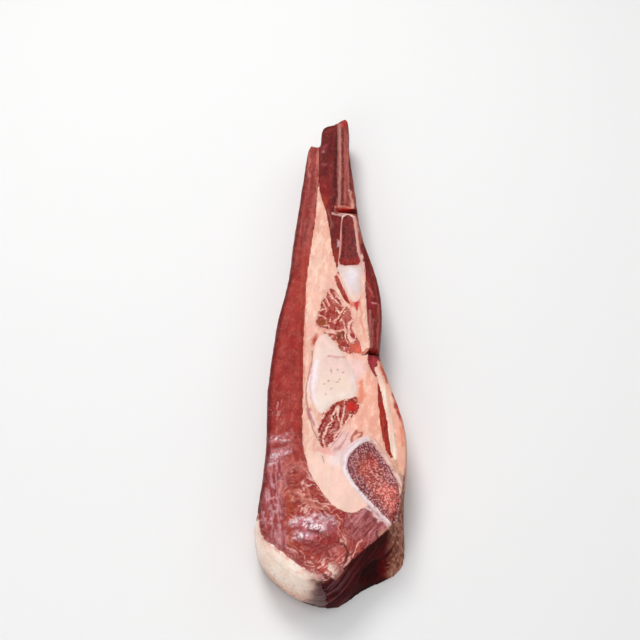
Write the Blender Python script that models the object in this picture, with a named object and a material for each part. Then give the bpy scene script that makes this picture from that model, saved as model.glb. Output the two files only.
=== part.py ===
"""A thick slice of bone-in beef brisket, sawn across the ribs and lying on its lower cut face.

Metres, +Z up. The slice's length runs along Y, with the thick breastbone end at -Y. The layers of the meat
run through it from the upper cut face to the lower one, so each muscle, bone and seam of fat is one solid
with the outline that shows on the cut faces. Places are in millimetres on the upper face, x across the slice
and y along it, on a drawing whose point DRAWING_CENTRE is the middle of the finished slice.
"""

import math

import bmesh
import bpy
from mathutils import Vector, noise

MM = 0.001

# Driving dimensions, in millimetres
THICKNESS = 42.0
DRAWING_CENTRE = (8.9, 3.5)
SEAM_GAP = 0.3
RELIEF_CELL = 11.0
CHORDS_PER_POINT = 3
FEWEST_FACES = 12
SHORTEST_EDGE = 1.2
WALL_BULGE = 1.5
FAR_END_THINNER = 3.0
SLIT_DEPTH = 14.0
CUTTER_OVERSHOOT = 14.0

# The rounding of the upper edge: its radius all round, and how much more there is at the fat cap
EDGE_RADIUS = 3.0
CAP_ROUNDING = {"centre": (-26, -182), "reach": 24, "height": 5.5}

# The end face slants: near these places its foot lies outside its upper edge by the run
END_SLANTS = [
    {"centre": (42, -163), "reach": 27, "run": (10.5, -14)},
    {"centre": (12, -188), "reach": 17, "run": (2, -7.5)},
]

# The slice's own outline, once round from the far end of the outer muscle
SLICE_EDGE = [
    (-9.6, 170), (-5.5, 174), (-0.8, 172.6), (1, 181), (3, 194), (12, 198.6), (19.5, 204.6), (24, 202),
    (24.6, 166), (29, 113), (33.5, 76), (40.5, 50), (45.6, 20), (45, -5), (42.8, -27), (48, -49), (57, -80),
    (58.6, -106), (54.8, -133), (49, -153), (39.5, -164), (20, -180.5), (4.5, -193.6), (-12, -194.5),
    (-29, -184), (-40, -168), (-40.4, -143), (-36.6, -108), (-36.6, -55), (-31.2, -2), (-23.4, 38), (-19.6, 82),
    (-14, 128),
]


def across(rows):
    """The outline of a layer that is given by rows of y, left side and right side, from one end to the other."""
    return [(left, y) for y, left, right in rows] + [(right, y) for y, left, right in reversed(rows)]


# The outlines of the layers. Where one runs past the slice's edge, the slice ends it; where it runs into a
# layer that stands earlier in LAYERS, that one keeps the place.
BREASTBONE_CORE = across([
    (-98, 30, 35), (-105, 21.4, 39.8), (-113, 18, 44.8), (-121, 19, 49.4), (-130, 23.8, 52.2), (-139, 31, 52.4),
    (-147, 38.4, 50.8), (-154, 45.4, 48.4),
])
BREASTBONE_RIM = across([
    (-94.6, 29.5, 35.5), (-101, 18.6, 41.4), (-111, 14, 47.4), (-121, 15.8, 53), (-131, 21.4, 66),
    (-140, 28.4, 70), (-150, 38, 70), (-159, 46.8, 66),
])
COSTAL_CARTILAGE = [
    (2.5, -11.5), (-3, -20), (-5.2, -38), (-6.8, -54), (-4.5, -68.5), (1.2, -76.5), (8.5, -69), (17, -65.4),
    (24.4, -62.8), (25.4, -53), (21.5, -38), (14.5, -25.5), (7.5, -15),
]
RIB_MARROW = across([(97, 18.4, 25.8), (75, 16.8, 28), (62, 16, 29.2), (50.4, 15.4, 30)])
RIB_CARTILAGE = [
    (14.9, 48.6), (22, 48.5), (30.5, 48.6), (31, 38), (30.4, 23), (26.6, 16), (22.4, 20), (18, 32), (15.3, 42),
]
RIB_CORTEX = across([
    (99.4, 18.4, 25.6), (93, 16.4, 28.3), (75, 15.2, 29.8), (60, 14.2, 31.2), (48.6, 13.4, 32), (43, 14.2, 31.6),
])
RIB_SIDE_MUSCLE = across([(38.5, 11.4, 13.4), (30, 13.2, 16.6), (20, 17.4, 20.8), (15, 20.6, 22.4)])
UPPER_MARBLED_MUSCLE = [
    (8, 27.5), (14.5, 20), (20.5, 11), (24.5, 4), (25.2, -8), (30, -22), (27.5, -28.6), (16, -26), (8, -18),
    (2.5, -9.4), (-3, -4.5), (-1.5, 7), (2, 19),
]
LOWER_MARBLED_MUSCLE = [
    (6, -68), (13, -63.5), (24, -62.5), (27.2, -70), (25, -77), (20, -81), (13.5, -91), (7.5, -99.5), (2, -102.5),
    (-1.2, -94), (0.8, -80.5),
]
INNER_TENDON = across([(-41, 40, 41.6), (-55, 42.6, 46), (-72, 45.4, 48.6), (-90, 47.6, 50.4), (-109, 49.6, 52.2)])
INNER_THIN_MUSCLE = across([(-54, 41, 42.4), (-70, 41, 44.8), (-85, 41.8, 46.6), (-100, 43.8, 48), (-109, 47, 49)])
INNER_MUSCLE = across([
    (99, 27.8, 46), (85, 30.2, 52), (66, 31.6, 60), (45, 33.8, 64), (15, 33.7, 66), (-12, 35, 66), (-27, 35.4, 60),
    (-32, 34.4, 43.6), (-39, 34.6, 40.8), (-47, 38.2, 40.4),
])
STRIPED_FLAP = across([(218, 15.4, 38), (180, 14.8, 38), (150, 13.8, 40), (118, 14, 42), (99.8, 12, 44)])
UPPER_MUSCLE = across([
    (218, -4, 20), (176, -0.8, 20), (150, -0.5, 20), (124, -0.4, 20), (104, 4.2, 20), (85, 7, 20), (66, 8.8, 19),
    (50, 11.6, 17), (41.6, 13.4, 14.6),
])
FAT_CAP = [
    (-62, -141), (-41, -149), (-37.5, -163), (-28, -172.5), (-10, -186), (0.5, -192.4), (8, -214), (-30, -220),
    (-66, -195),
]
OUTER_MUSCLE = [
    (-0.4, 182), (-0.5, 150), (-2, 122), (-3.4, 100), (-6, 72), (-9.5, 42), (-10.8, 12), (-12.3, -20),
    (-11.8, -50), (-12.2, -90), (-9.5, -112), (-2.5, -129), (7.5, -143.5), (20, -149), (28.4, -145.4), (36, -143),
    (46, -152), (80, -175), (50, -226), (-40, -226), (-80, -120), (-80, 120), (-30, 185),
]
SLITS = {
    "slit_above_rib": [(9.3, 104.2), (18, 106.2), (38, 105.4), (38, 100.4), (18, 101.6)],
    "slit_above_tendon": [(30.6, -28.4), (36.5, -25), (52, -25.6), (52, -29.2), (36.5, -29.4)],
}

# Layer: outline, height of its cut face above the fat's, size and shift of its outline on the lower face
# against the upper one, colour, roughness
LAYERS = {
    "breastbone_core": (BREASTBONE_CORE, -0.3, 0.96, (2.5, -2.5), (0.36, 0.09, 0.09), 0.55),
    "breastbone_rim": (BREASTBONE_RIM, 0.3, 0.97, (2.5, -2.5), (0.86, 0.74, 0.70), 0.4),
    "costal_cartilage": (COSTAL_CARTILAGE, 0.4, 0.94, (0.5, 1.5), (0.90, 0.80, 0.72), 0.35),
    "rib_marrow": (RIB_MARROW, -0.5, 1.0, (1.0, 0), (0.30, 0.07, 0.06), 0.5),
    "rib_cartilage": (RIB_CARTILAGE, 0.4, 1.0, (1.0, 0), (0.85, 0.84, 0.88), 0.3),
    "rib_cortex": (RIB_CORTEX, 0.4, 1.0, (1.0, 0), (0.80, 0.56, 0.48), 0.4),
    "rib_side_muscle": (RIB_SIDE_MUSCLE, -0.3, 1.0, (0, 0), (0.38, 0.07, 0.05), 0.4),
    "upper_marbled_muscle": (UPPER_MARBLED_MUSCLE, -0.4, 0.96, (-0.5, 0), (0.42, 0.10, 0.08), 0.4),
    "lower_marbled_muscle": (LOWER_MARBLED_MUSCLE, -0.4, 0.96, (0, -1.0), (0.42, 0.10, 0.08), 0.4),
    "inner_tendon": (INNER_TENDON, 0.5, 1.0, (0.5, 0), (0.90, 0.68, 0.52), 0.35),
    "inner_thin_muscle": (INNER_THIN_MUSCLE, -0.5, 1.0, (0.5, 0), (0.42, 0.06, 0.05), 0.4),
    "inner_muscle": (INNER_MUSCLE, -0.8, 1.0, (1.0, 0), (0.30, 0.06, 0.05), 0.4),
    "striped_flap": (STRIPED_FLAP, -0.3, 1.0, (0, 0), (0.42, 0.18, 0.12), 0.45),
    "upper_muscle": (UPPER_MUSCLE, 0.3, 1.0, (0, 0), (0.19, 0.03, 0.03), 0.4),
    "fat_cap": (FAT_CAP, 0.0, 1.0, (0, 0), (0.86, 0.66, 0.54), 0.4),
    "outer_muscle": (OUTER_MUSCLE, 0.2, 1.0, (0, 0), (0.34, 0.07, 0.06), 0.4),
}
FAT_COLOUR, FAT_ROUGHNESS = (0.86, 0.60, 0.48), 0.4

# Broad swells of the upper face: x, y, radius across, radius along, height
SWELLS = [
    (-12, -158, 26, 30, 2.6),
    (-24, -60, 12, 70, 1.0),
    (14, -84, 14, 16, -0.8),
    (11, 2, 12, 22, -0.9),
    (37, -4, 9, 24, -1.2),
    (37, -88, 8, 26, 0.9),
    (8, 150, 9, 40, 1.0),
    (0, 60, 8, 40, 0.6),
    (22, 104, 14, 7, -1.2),
    (30, -166, 20, 14, -2.4),
]

# The lump of fat at the front edge of the upper face
FAT_NUB_PLACE = (8.2, -184.4, THICKNESS - 3.4)
FAT_NUB_RADII = (6.0, 5.8, 4.8)


def clear_scene():
    for obj in list(bpy.data.objects):
        bpy.data.objects.remove(obj, do_unlink=True)


def new_collection(name):
    collection = bpy.data.collections.new(name)
    bpy.context.scene.collection.children.link(collection)
    return collection


def on_part(x, y, z):
    """A place on the drawing, in millimetres, as a point of the part, in metres."""
    return Vector(((x - DRAWING_CENTRE[0]) * MM, (y - DRAWING_CENTRE[1]) * MM, z * MM))


def on_drawing(point):
    return point.x / MM + DRAWING_CENTRE[0], point.y / MM + DRAWING_CENTRE[1]


def nearness(place, centre, reach):
    """1 at the centre, falling off to nothing over the reach."""
    return math.exp(-((place[0] - centre[0]) ** 2 + (place[1] - centre[1]) ** 2) / reach ** 2)


def smooth_loop(points, chords):
    """A closed Catmull-Rom curve through the points, with this many chords from each point to the next."""
    loop = []
    count = len(points)
    for i in range(count):
        p0, p1, p2, p3 = (Vector(points[(i + k - 1) % count]) for k in range(4))
        for step in range(chords):
            t = step / chords
            near = 2 * p1 + (p2 - p0) * t
            bend = (2 * p0 - 5 * p1 + 4 * p2 - p3) * t * t + (3 * p1 - p0 - 3 * p2 + p3) * t ** 3
            loop.append((near + bend) / 2)
    return loop


def signed_area(loop):
    return 0.5 * sum(a.x * b.y - b.x * a.y for a, b in zip(loop, loop[1:] + loop[:1]))


def outward_directions(loop):
    """At each point the way out of the loop, longer at a corner so that a parallel line keeps its distance."""
    turn = 1 if signed_area(loop) > 0 else -1
    directions = []
    for i, point in enumerate(loop):
        before = (point - loop[i - 1]).normalized()
        after = (loop[(i + 1) % len(loop)] - point).normalized()
        side = (before + after).normalized()
        corner = max(0.6, math.sqrt(max(0.0, (1 + before.dot(after)) / 2)))
        directions.append(Vector((side.y, -side.x)) * turn / corner)
    return directions


def evaluated_mesh(obj):
    bpy.context.view_layer.update()
    return bpy.data.meshes.new_from_object(obj.evaluated_get(bpy.context.evaluated_depsgraph_get()))


def prism(name, loop, low, high, taper, lean, collection):
    """An upright block with this outline. Below the upper face the outline shrinks by taper and shifts by lean."""
    curve = bpy.data.curves.new(name, "CURVE")
    curve.dimensions = "2D"
    curve.fill_mode = "BOTH"
    curve.extrude = (high - low) / 2 * MM
    spline = curve.splines.new("POLY")
    spline.points.add(len(loop) - 1)
    for point, place in zip(spline.points, loop):
        point.co = (*on_part(place.x, place.y, 0).xy, 0, 1)
    spline.use_cyclic_u = True
    outline = bpy.data.objects.new(name + "_curve", curve)
    bpy.context.scene.collection.objects.link(outline)
    mesh = evaluated_mesh(outline)
    bpy.data.objects.remove(outline)
    centre = sum((on_part(p.x, p.y, 0) for p in loop), Vector()) / len(loop)
    bm = bmesh.new()
    bm.from_mesh(mesh)
    bmesh.ops.remove_doubles(bm, verts=bm.verts, dist=0.00001)
    for vertex in bm.verts:
        height = low if vertex.co.z < 0 else high
        below = (THICKNESS - height) / THICKNESS
        size = 1 + (taper - 1) * below
        vertex.co.x = centre.x + (vertex.co.x - centre.x) * size + lean[0] * below * MM
        vertex.co.y = centre.y + (vertex.co.y - centre.y) * size + lean[1] * below * MM
        vertex.co.z = height * MM
    bmesh.ops.recalc_face_normals(bm, faces=bm.faces)
    bm.to_mesh(mesh)
    bm.free()
    return add_cutter(name, mesh, collection)


def add_cutter(name, mesh, collection):
    cutter = bpy.data.objects.new(name, mesh)
    cutter.hide_render = True
    cutter.display_type = "WIRE"
    collection.objects.link(cutter)
    return cutter


def face_height(x, y):
    """Height of the upper face above the lower one at a place on the drawing, in millimetres."""
    height = THICKNESS + 0.7 * noise.noise(Vector((x / 26, y / 26, 3.7)))
    for cx, cy, across_radius, along_radius, swell in SWELLS:
        height += swell * math.exp(-(((x - cx) / across_radius) ** 2) - ((y - cy) / along_radius) ** 2)
    return height - FAR_END_THINNER * max(0.0, min(1.0, (y - 40) / 160))


def edge_radius(place):
    return EDGE_RADIUS + CAP_ROUNDING["height"] * nearness(place, CAP_ROUNDING["centre"], CAP_ROUNDING["reach"])


def wall_point(place, out, level):
    """A point of the slice's side wall: level is 0 at the foot and 1 where the rounding of the edge begins."""
    slant = sum((Vector(s["run"]) * nearness(place, s["centre"], s["reach"]) for s in END_SLANTS), Vector((0, 0)))
    place = place + slant * (1 - level)
    swell = WALL_BULGE * math.sin(math.pi * level) * (0.6 + noise.noise(Vector((*place / 30, level * 2))))
    place = place + out * swell
    return on_part(place.x, place.y, level * (face_height(*place) - edge_radius(place)))


def edge_point(place, out, turned):
    """A point of the rounding of the upper edge, turned from 0 at the wall to 1 at the upper face."""
    radius = edge_radius(place)
    angle = turned * math.pi / 2
    place = place - out * radius * (1 - math.cos(angle))
    return on_part(place.x, place.y, face_height(*place) - radius * (1 - math.sin(angle)))


def slice_body():
    """The whole slice as one block: a wall raised ring by ring, and an upper face cut into a grid and shaped."""
    edge = smooth_loop(SLICE_EDGE, CHORDS_PER_POINT)
    out = outward_directions(edge)
    rings = [[wall_point(p, o, level) for p, o in zip(edge, out)] for level in (0, 0.35, 0.7, 1)]
    rings += [[edge_point(p, o, turned) for p, o in zip(edge, out)] for turned in (0.5, 1)]
    bm = bmesh.new()
    lower_face = bm.faces.new([bm.verts.new(point) for point in rings[0]])
    edges = list(lower_face.edges)
    for ring in rings[1:]:
        made = bmesh.ops.extrude_edge_only(bm, edges=edges)["geom"]
        edges = [g for g in made if isinstance(g, bmesh.types.BMEdge)]
        bm.verts.ensure_lookup_table()
        for vertex, point in zip(bm.verts[-len(ring):], ring):
            vertex.co = point
    upper_face = bmesh.ops.contextual_create(bm, geom=edges)["faces"][0]
    rim = set(upper_face.verts)
    inner = {v for face in cut_into_grid(bm, upper_face) for v in face.verts if v not in rim}
    for vertex in inner:
        vertex.co.z = face_height(*on_drawing(vertex.co)) * MM
    bmesh.ops.remove_doubles(bm, verts=bm.verts, dist=SHORTEST_EDGE * MM)
    bmesh.ops.recalc_face_normals(bm, faces=bm.faces)
    mesh = bpy.data.meshes.new("slice_body")
    bm.to_mesh(mesh)
    bm.free()
    return mesh


def cut_into_grid(bm, face):
    """Cuts one face along lines a cell apart, both ways, and gives the faces that this makes."""
    corners = [v.co.copy() for v in face.verts]
    faces = {face}
    for axis in (0, 1):
        low = min(c[axis] for c in corners)
        high = max(c[axis] for c in corners)
        cells = int((high - low) / (RELIEF_CELL * MM))
        for i in range(1, cells):
            place, normal = Vector(), Vector()
            place[axis] = low + (high - low) * i / cells
            normal[axis] = 1
            geom = {g for f in faces for g in (f, *f.edges, *f.verts)}
            made = bmesh.ops.bisect_plane(bm, geom=list(geom), dist=0.00002, plane_co=place, plane_no=normal)
            faces = {g for g in made["geom"] if isinstance(g, bmesh.types.BMFace)}
    return faces


def material(name, colour, roughness):
    made = bpy.data.materials.new(name)
    made.use_nodes = True
    shader = made.node_tree.nodes["Principled BSDF"]
    shader.inputs["Base Color"].default_value = (*colour, 1)
    shader.inputs["Roughness"].default_value = roughness
    shader.inputs["Metallic"].default_value = 0
    return made


def boolean(obj, operation, other):
    modifier = obj.modifiers.new(operation.lower() + "_" + other.name, "BOOLEAN")
    modifier.operation = operation
    modifier.object = other
    modifier.solver = "EXACT"


def boxes_meet(a, b):
    """Whether the boxes round two cutters meet, seen from above."""
    for axis in (0, 1):
        first = [v.co[axis] for v in a.data.vertices]
        second = [v.co[axis] for v in b.data.vertices]
        if min(first) > max(second) or min(second) > max(first):
            return False
    return True


def raised(body, name, height):
    """A copy of the slice with its upper face and the rounding of its edge moved up."""
    mesh = body.copy()
    mesh.name = name
    for vertex in mesh.vertices:
        place = on_drawing(vertex.co)
        if vertex.co.z / MM > face_height(*place) - edge_radius(place) - 1:
            vertex.co.z += height * MM
    return mesh


def add_node(name, mesh, colour, roughness, collection):
    mesh.materials.clear()
    mesh.materials.append(material(name, colour, roughness))
    obj = bpy.data.objects.new(name, mesh)
    collection.objects.link(obj)
    return obj


def cut_to_shape(obj):
    """Applies the cuts and keeps the largest piece, so that no loose scrap of a layer is left.

    The first solver can lose a layer that reaches the slice's ends, and the second then cuts it.
    """
    mesh = evaluated_mesh(obj)
    if len(mesh.polygons) < FEWEST_FACES:
        for modifier in obj.modifiers:
            modifier.solver = "MANIFOLD"
        mesh = evaluated_mesh(obj)
    bm = bmesh.new()
    bm.from_mesh(mesh)
    left = set(bm.verts)
    pieces = []
    while left:
        reached = [left.pop()]
        for vertex in reached:
            for other in {edge.other_vert(vertex) for edge in vertex.link_edges} & left:
                left.remove(other)
                reached.append(other)
        pieces.append(reached)
    pieces.sort(key=len)
    bmesh.ops.delete(bm, geom=[v for piece in pieces[:-1] for v in piece], context="VERTS")
    bm.to_mesh(mesh)
    bm.free()
    obj.modifiers.clear()
    obj.data = mesh


def fat_nub(name, grow, collection):
    """The lump of fat, as a node or, a little larger, as the room cut for it."""
    bm = bmesh.new()
    bmesh.ops.create_icosphere(bm, subdivisions=2, radius=1)
    for vertex in bm.verts:
        reach = [c * (radius + grow) * MM for c, radius in zip(vertex.co, FAT_NUB_RADII)]
        vertex.co = on_part(*FAT_NUB_PLACE) + Vector(reach)
    mesh = bpy.data.meshes.new(name)
    bm.to_mesh(mesh)
    bm.free()
    if grow:
        return add_cutter(name, mesh, collection)
    return add_node(name, mesh, FAT_COLOUR, FAT_ROUGHNESS, collection)


def build():
    clear_scene()
    parts = new_collection("brisket_slice")
    cutters = new_collection("cutters")
    body = slice_body()
    low, high = -CUTTER_OVERSHOOT, THICKNESS + CUTTER_OVERSHOOT
    slits = [
        prism(name, smooth_loop(points, 1), THICKNESS - SLIT_DEPTH, high, 0.4, (0, 0), cutters)
        for name, points in SLITS.items()
    ]
    nub_room = fat_nub("fat_nub_room", SEAM_GAP, cutters)
    rooms = []
    for name, (points, height, taper, lean, colour, roughness) in LAYERS.items():
        loop = smooth_loop(points, CHORDS_PER_POINT)
        own = prism(name + "_outline", loop, low, high, taper, lean, cutters)
        obj = add_node(name, raised(body, name, height), colour, roughness, parts)
        boolean(obj, "INTERSECT", own)
        for other in rooms + slits:
            if boxes_meet(own, other):
                boolean(obj, "DIFFERENCE", other)
        if name in ("outer_muscle", "fat_cap"):
            boolean(obj, "DIFFERENCE", nub_room)
        cut_to_shape(obj)
        roomy = [point + out * SEAM_GAP for point, out in zip(loop, outward_directions(loop))]
        rooms.append(prism(name + "_room", roomy, low, high, taper, lean, cutters))
    fat = add_node("seam_fat", raised(body, "seam_fat", 0), FAT_COLOUR, FAT_ROUGHNESS, parts)
    for other in rooms + slits:
        boolean(fat, "DIFFERENCE", other)
    cut_to_shape(fat)
    fat_nub("fat_nub", 0, parts)


build()
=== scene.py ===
"""The look of a raw slice of bone-in beef brisket: moist muscle, waxy fat, cartilage and sawn bone.

Metres, +Z up. Places on the cut face are in millimetres on the slice's drawing: x across it, towards the
ribs, and y along it, away from the breastbone. DRAWING_CENTRE is the drawing's place of the slice's middle.
"""

import math

import bmesh
import bpy
import numpy as np
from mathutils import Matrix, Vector
from mathutils.bvhtree import BVHTree


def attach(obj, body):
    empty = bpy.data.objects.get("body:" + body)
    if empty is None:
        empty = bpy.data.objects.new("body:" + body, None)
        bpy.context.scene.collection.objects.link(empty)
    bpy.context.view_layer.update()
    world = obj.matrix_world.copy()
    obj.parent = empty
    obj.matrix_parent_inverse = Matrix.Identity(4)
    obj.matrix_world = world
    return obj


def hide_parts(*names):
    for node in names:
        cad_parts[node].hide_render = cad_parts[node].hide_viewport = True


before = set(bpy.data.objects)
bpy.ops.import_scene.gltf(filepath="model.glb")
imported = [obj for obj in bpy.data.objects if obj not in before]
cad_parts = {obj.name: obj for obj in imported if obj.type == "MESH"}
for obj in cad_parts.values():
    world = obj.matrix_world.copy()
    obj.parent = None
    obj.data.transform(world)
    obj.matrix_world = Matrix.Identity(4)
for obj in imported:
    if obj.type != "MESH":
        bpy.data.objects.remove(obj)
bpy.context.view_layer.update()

MM = 0.001
DRAWING_CENTRE = (8.9, 3.5)

# The camera of the photograph. It looks along +Y and down, at the place of the upper face that is the
# drawing's zero.
CAMERA_ELEVATION = math.radians(58)
CAMERA_DISTANCE = 0.70
FACE_HEIGHT = 0.042
FOCAL_PIXELS = 950
PHOTO_PIXELS = 640
SENSOR_MM = 36.0

# The white that gloss adds to what is seen, and the least light that a surface gives back
GLOSS = 0.026
LEAST_LIGHT = 0.003

# The upper cut face is what leans up this far and lies above this height. What leans up more than SHOULDER is
# meshed finely, and a point whose normal is nearly upright lies on no wall.
FACING_UP = 0.6
LOW_EDGE = 0.030
SHOULDER = 0.15
NEARLY_UPRIGHT = 0.985

# Points closer than SAME_PLACE are one point, and walls closer than TOUCHING touch, in metres
SAME_PLACE = 0.00001
TOUCHING = 0.0002

# How far a point looks for its neighbours, and a wall for the wall that it faces, in millimetres
NEIGHBOUR_REACH = 6
FACING_REACH = 2.2

# How far a wall goes into its neighbour in millimetres, and how steeply a layer's edge dips under a lower one
SEAM_REACH = 1.0
SEAM_SLOPE = 0.35

# The slits beside the rib and beside the big cartilage, the height of their floor in millimetres, and where
# along the drawing the corners of the narrow end begin to be kept sharp
FIRST_SLIT = [(10, 104), (18, 103.8), (28, 103)]
SECOND_SLIT = [(31.5, -28.2), (36, -27.2), (42, -27.5)]
SLIT_FLOOR = 26
NARROW_END = (150, 162)

# What is meat or marrow. All other nodes are fat, gristle or bone.
RED_NODES = ("outer_muscle", "upper_muscle", "inner_muscle", "inner_thin_muscle", "rib_side_muscle",
             "upper_marbled_muscle", "lower_marbled_muscle", "striped_flap", "rib_marrow", "breastbone_core")


def colour(red, green, blue):
    """A colour given as it is seen, 0 to 255, as the light that the surface itself gives back.

    The gloss on it adds a little white to what is seen, so that is taken off.
    """
    seen = np.array([red, green, blue], float) / 255
    light = np.where(seen <= 0.04045, seen / 12.92, ((seen + 0.055) / 1.055) ** 2.4)
    return np.maximum(light - GLOSS, LEAST_LIGHT)


# ---------------------------------------------------------------------------------------------------------
# Patterns over the drawing
# ---------------------------------------------------------------------------------------------------------

def lattice_value(cell, seed):
    """A fixed value between -1 and 1 for each cell of a lattice. The large numbers only stir its digits."""
    x, y, z = cell[..., 0], cell[..., 1], cell[..., 2]
    mixed = (x * 374761393 + y * 668265263 + z * 1274126177 + seed * 974634777) & 0xFFFFFFFF
    mixed = ((mixed ^ (mixed >> 13)) * 1103515245) & 0xFFFFFFFF
    mixed = ((mixed ^ (mixed >> 16)) * 2246822519) & 0xFFFFFFFF
    return ((mixed ^ (mixed >> 15)) & 0xFFFFFF) / 8388607.5 - 1


def cloud(places, size, seed=0, octaves=3):
    """Soft random swells of about this size, between -1 and 1."""
    total, weight = np.zeros(len(places)), 0.0
    for octave in range(octaves):
        scaled = places * (2 ** octave / size) + 17.3 * octave
        cell = np.floor(scaled).astype(np.int64)
        part = scaled - cell
        fade = part ** 3 * (part * (part * 6 - 15) + 10)
        value = 0.0
        for corner in np.ndindex(2, 2, 2):
            share = np.prod(np.where(corner, fade, 1 - fade), axis=1)
            value = value + share * lattice_value(cell + np.array(corner), seed + octave)
        strength = 0.5 ** octave
        total += strength * value
        weight += strength
    return total / weight * 1.6


def step(low, high, value):
    """0 below low, 1 above high, and smooth between."""
    t = np.clip((value - low) / (high - low), 0, 1)
    return t * t * (3 - 2 * t)


def read_places(mesh):
    """The places of a mesh's points, in metres."""
    co = np.zeros(len(mesh.vertices) * 3)
    mesh.vertices.foreach_get("co", co)
    return co.reshape(-1, 3)


def write_places(mesh, co):
    mesh.vertices.foreach_set("co", co.ravel())
    mesh.update()


def turned(x, y, turn):
    """Places across and along a direction that is turned anticlockwise by turn degrees."""
    angle = math.radians(turn)
    return x * math.cos(angle) + y * math.sin(angle), y * math.cos(angle) - x * math.sin(angle)


def beside(x, y, start, end):
    """How far places lie from a straight line between two others, and how far along it they lie, 0 to 1."""
    (ax, ay), (bx, by) = start, end
    square = max((bx - ax) ** 2 + (by - ay) ** 2, 1e-9)
    share = np.clip(((x - ax) * (bx - ax) + (y - ay) * (by - ay)) / square, 0, 1)
    return np.hypot(x - ax - share * (bx - ax), y - ay - share * (by - ay)), share


class Face:
    """The places of a piece's points on the drawing, in millimetres, and how squarely each lies on a side.

    mm are the true places. x and y are a little wavy, so that what is drawn there has natural edges.
    """

    def __init__(self, obj, places=None):
        self.co = read_places(obj.data) if places is None else places.copy()
        normals = np.zeros(self.co.size)
        obj.data.vertex_normals.foreach_get("vector", normals)
        self.normal = normals.reshape(-1, 3)
        self.mm = self.co / MM + np.array([*DRAWING_CENTRE, 0])
        self.x, self.y = self.wavy(0, 11), self.wavy(1, 13)
        self.up = step(0.5, 0.85, self.normal[:, 2])
        self.wall = 1 - step(0.35, 0.75, np.abs(self.normal[:, 2]))
        self.front = self.wall * step(0.3, 0.7, -self.normal[:, 1])

    def wavy(self, axis, seed):
        return self.mm[:, axis] + 1.3 * cloud(self.mm, 7, seed) + 0.5 * cloud(self.mm, 2.5, seed + 1, 2)

    def grain(self, along, across, turn=0, seed=50, octaves=3):
        """Random streaks this long and wide. They run along y, turned anticlockwise by turn degrees."""
        u, v = turned(self.mm[:, 0], self.mm[:, 1], turn)
        places = np.stack([u / across, v / along, self.mm[:, 2] / max(across, 6)], axis=1)
        return cloud(places, 1.0, seed, octaves)

    def rings(self, x, y, across, along, seed, octaves=3):
        """Random streaks that run round a place, this far apart and this long."""
        dx = self.mm[:, 0] - x + 5 * cloud(self.mm, 15, seed + 7, 2) + 1.5 * cloud(self.mm, 4, seed + 8, 2)
        dy = self.mm[:, 1] - y + 5 * cloud(self.mm, 15, seed + 9, 2) + 1.5 * cloud(self.mm, 4, seed + 10, 2)
        away, turn = np.hypot(dx, dy), np.arctan2(dy, dx)
        round_about = 16.0 / along
        places = np.stack([np.cos(turn) * round_about, np.sin(turn) * round_about, away / across], axis=1)
        return cloud(places, 1.0, seed, octaves)

    def layers(self, along, thick, seed, octaves=3):
        """Random bands that lie level on the walls, this long and thick."""
        return cloud(self.mm / np.array([along, along, thick]), 1.0, seed, octaves)

    def runs(self, across, down, seed, octaves=3):
        """Random streaks that run down the walls, this far apart and this long."""
        return cloud(self.mm / np.array([across, across, down]), 1.0, seed, octaves)

    def oval(self, x, y, across, along, turn=0, soft=0.5):
        """1 inside an oval, falling to 0 outside it. It is turned anticlockwise by turn degrees."""
        u, v = turned(self.x - x, self.y - y, turn)
        return 1 - step(1 - soft, 1 + soft, np.hypot(u / across, v / along))

    def stroke(self, points, width, soft=0.5, wobble=1.0):
        """1 on a line through the points, falling to 0 beside it. width is its half width at each end."""
        x = self.mm[:, 0] + wobble * (self.x - self.mm[:, 0])
        y = self.mm[:, 1] + wobble * (self.y - self.mm[:, 1])
        nearest = np.full(len(x), np.inf)
        first, last = width if isinstance(width, tuple) else (width, width)
        whole, gone = sum(math.dist(a, b) for a, b in zip(points, points[1:])), 0.0
        for start, end in zip(points, points[1:]):
            distance, share = beside(x, y, start, end)
            share = (gone + share * math.dist(start, end)) / whole
            nearest = np.minimum(nearest, distance / (first + (last - first) * share))
            gone += math.dist(start, end)
        return 1 - step(1 - soft, 1 + soft, nearest)


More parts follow.
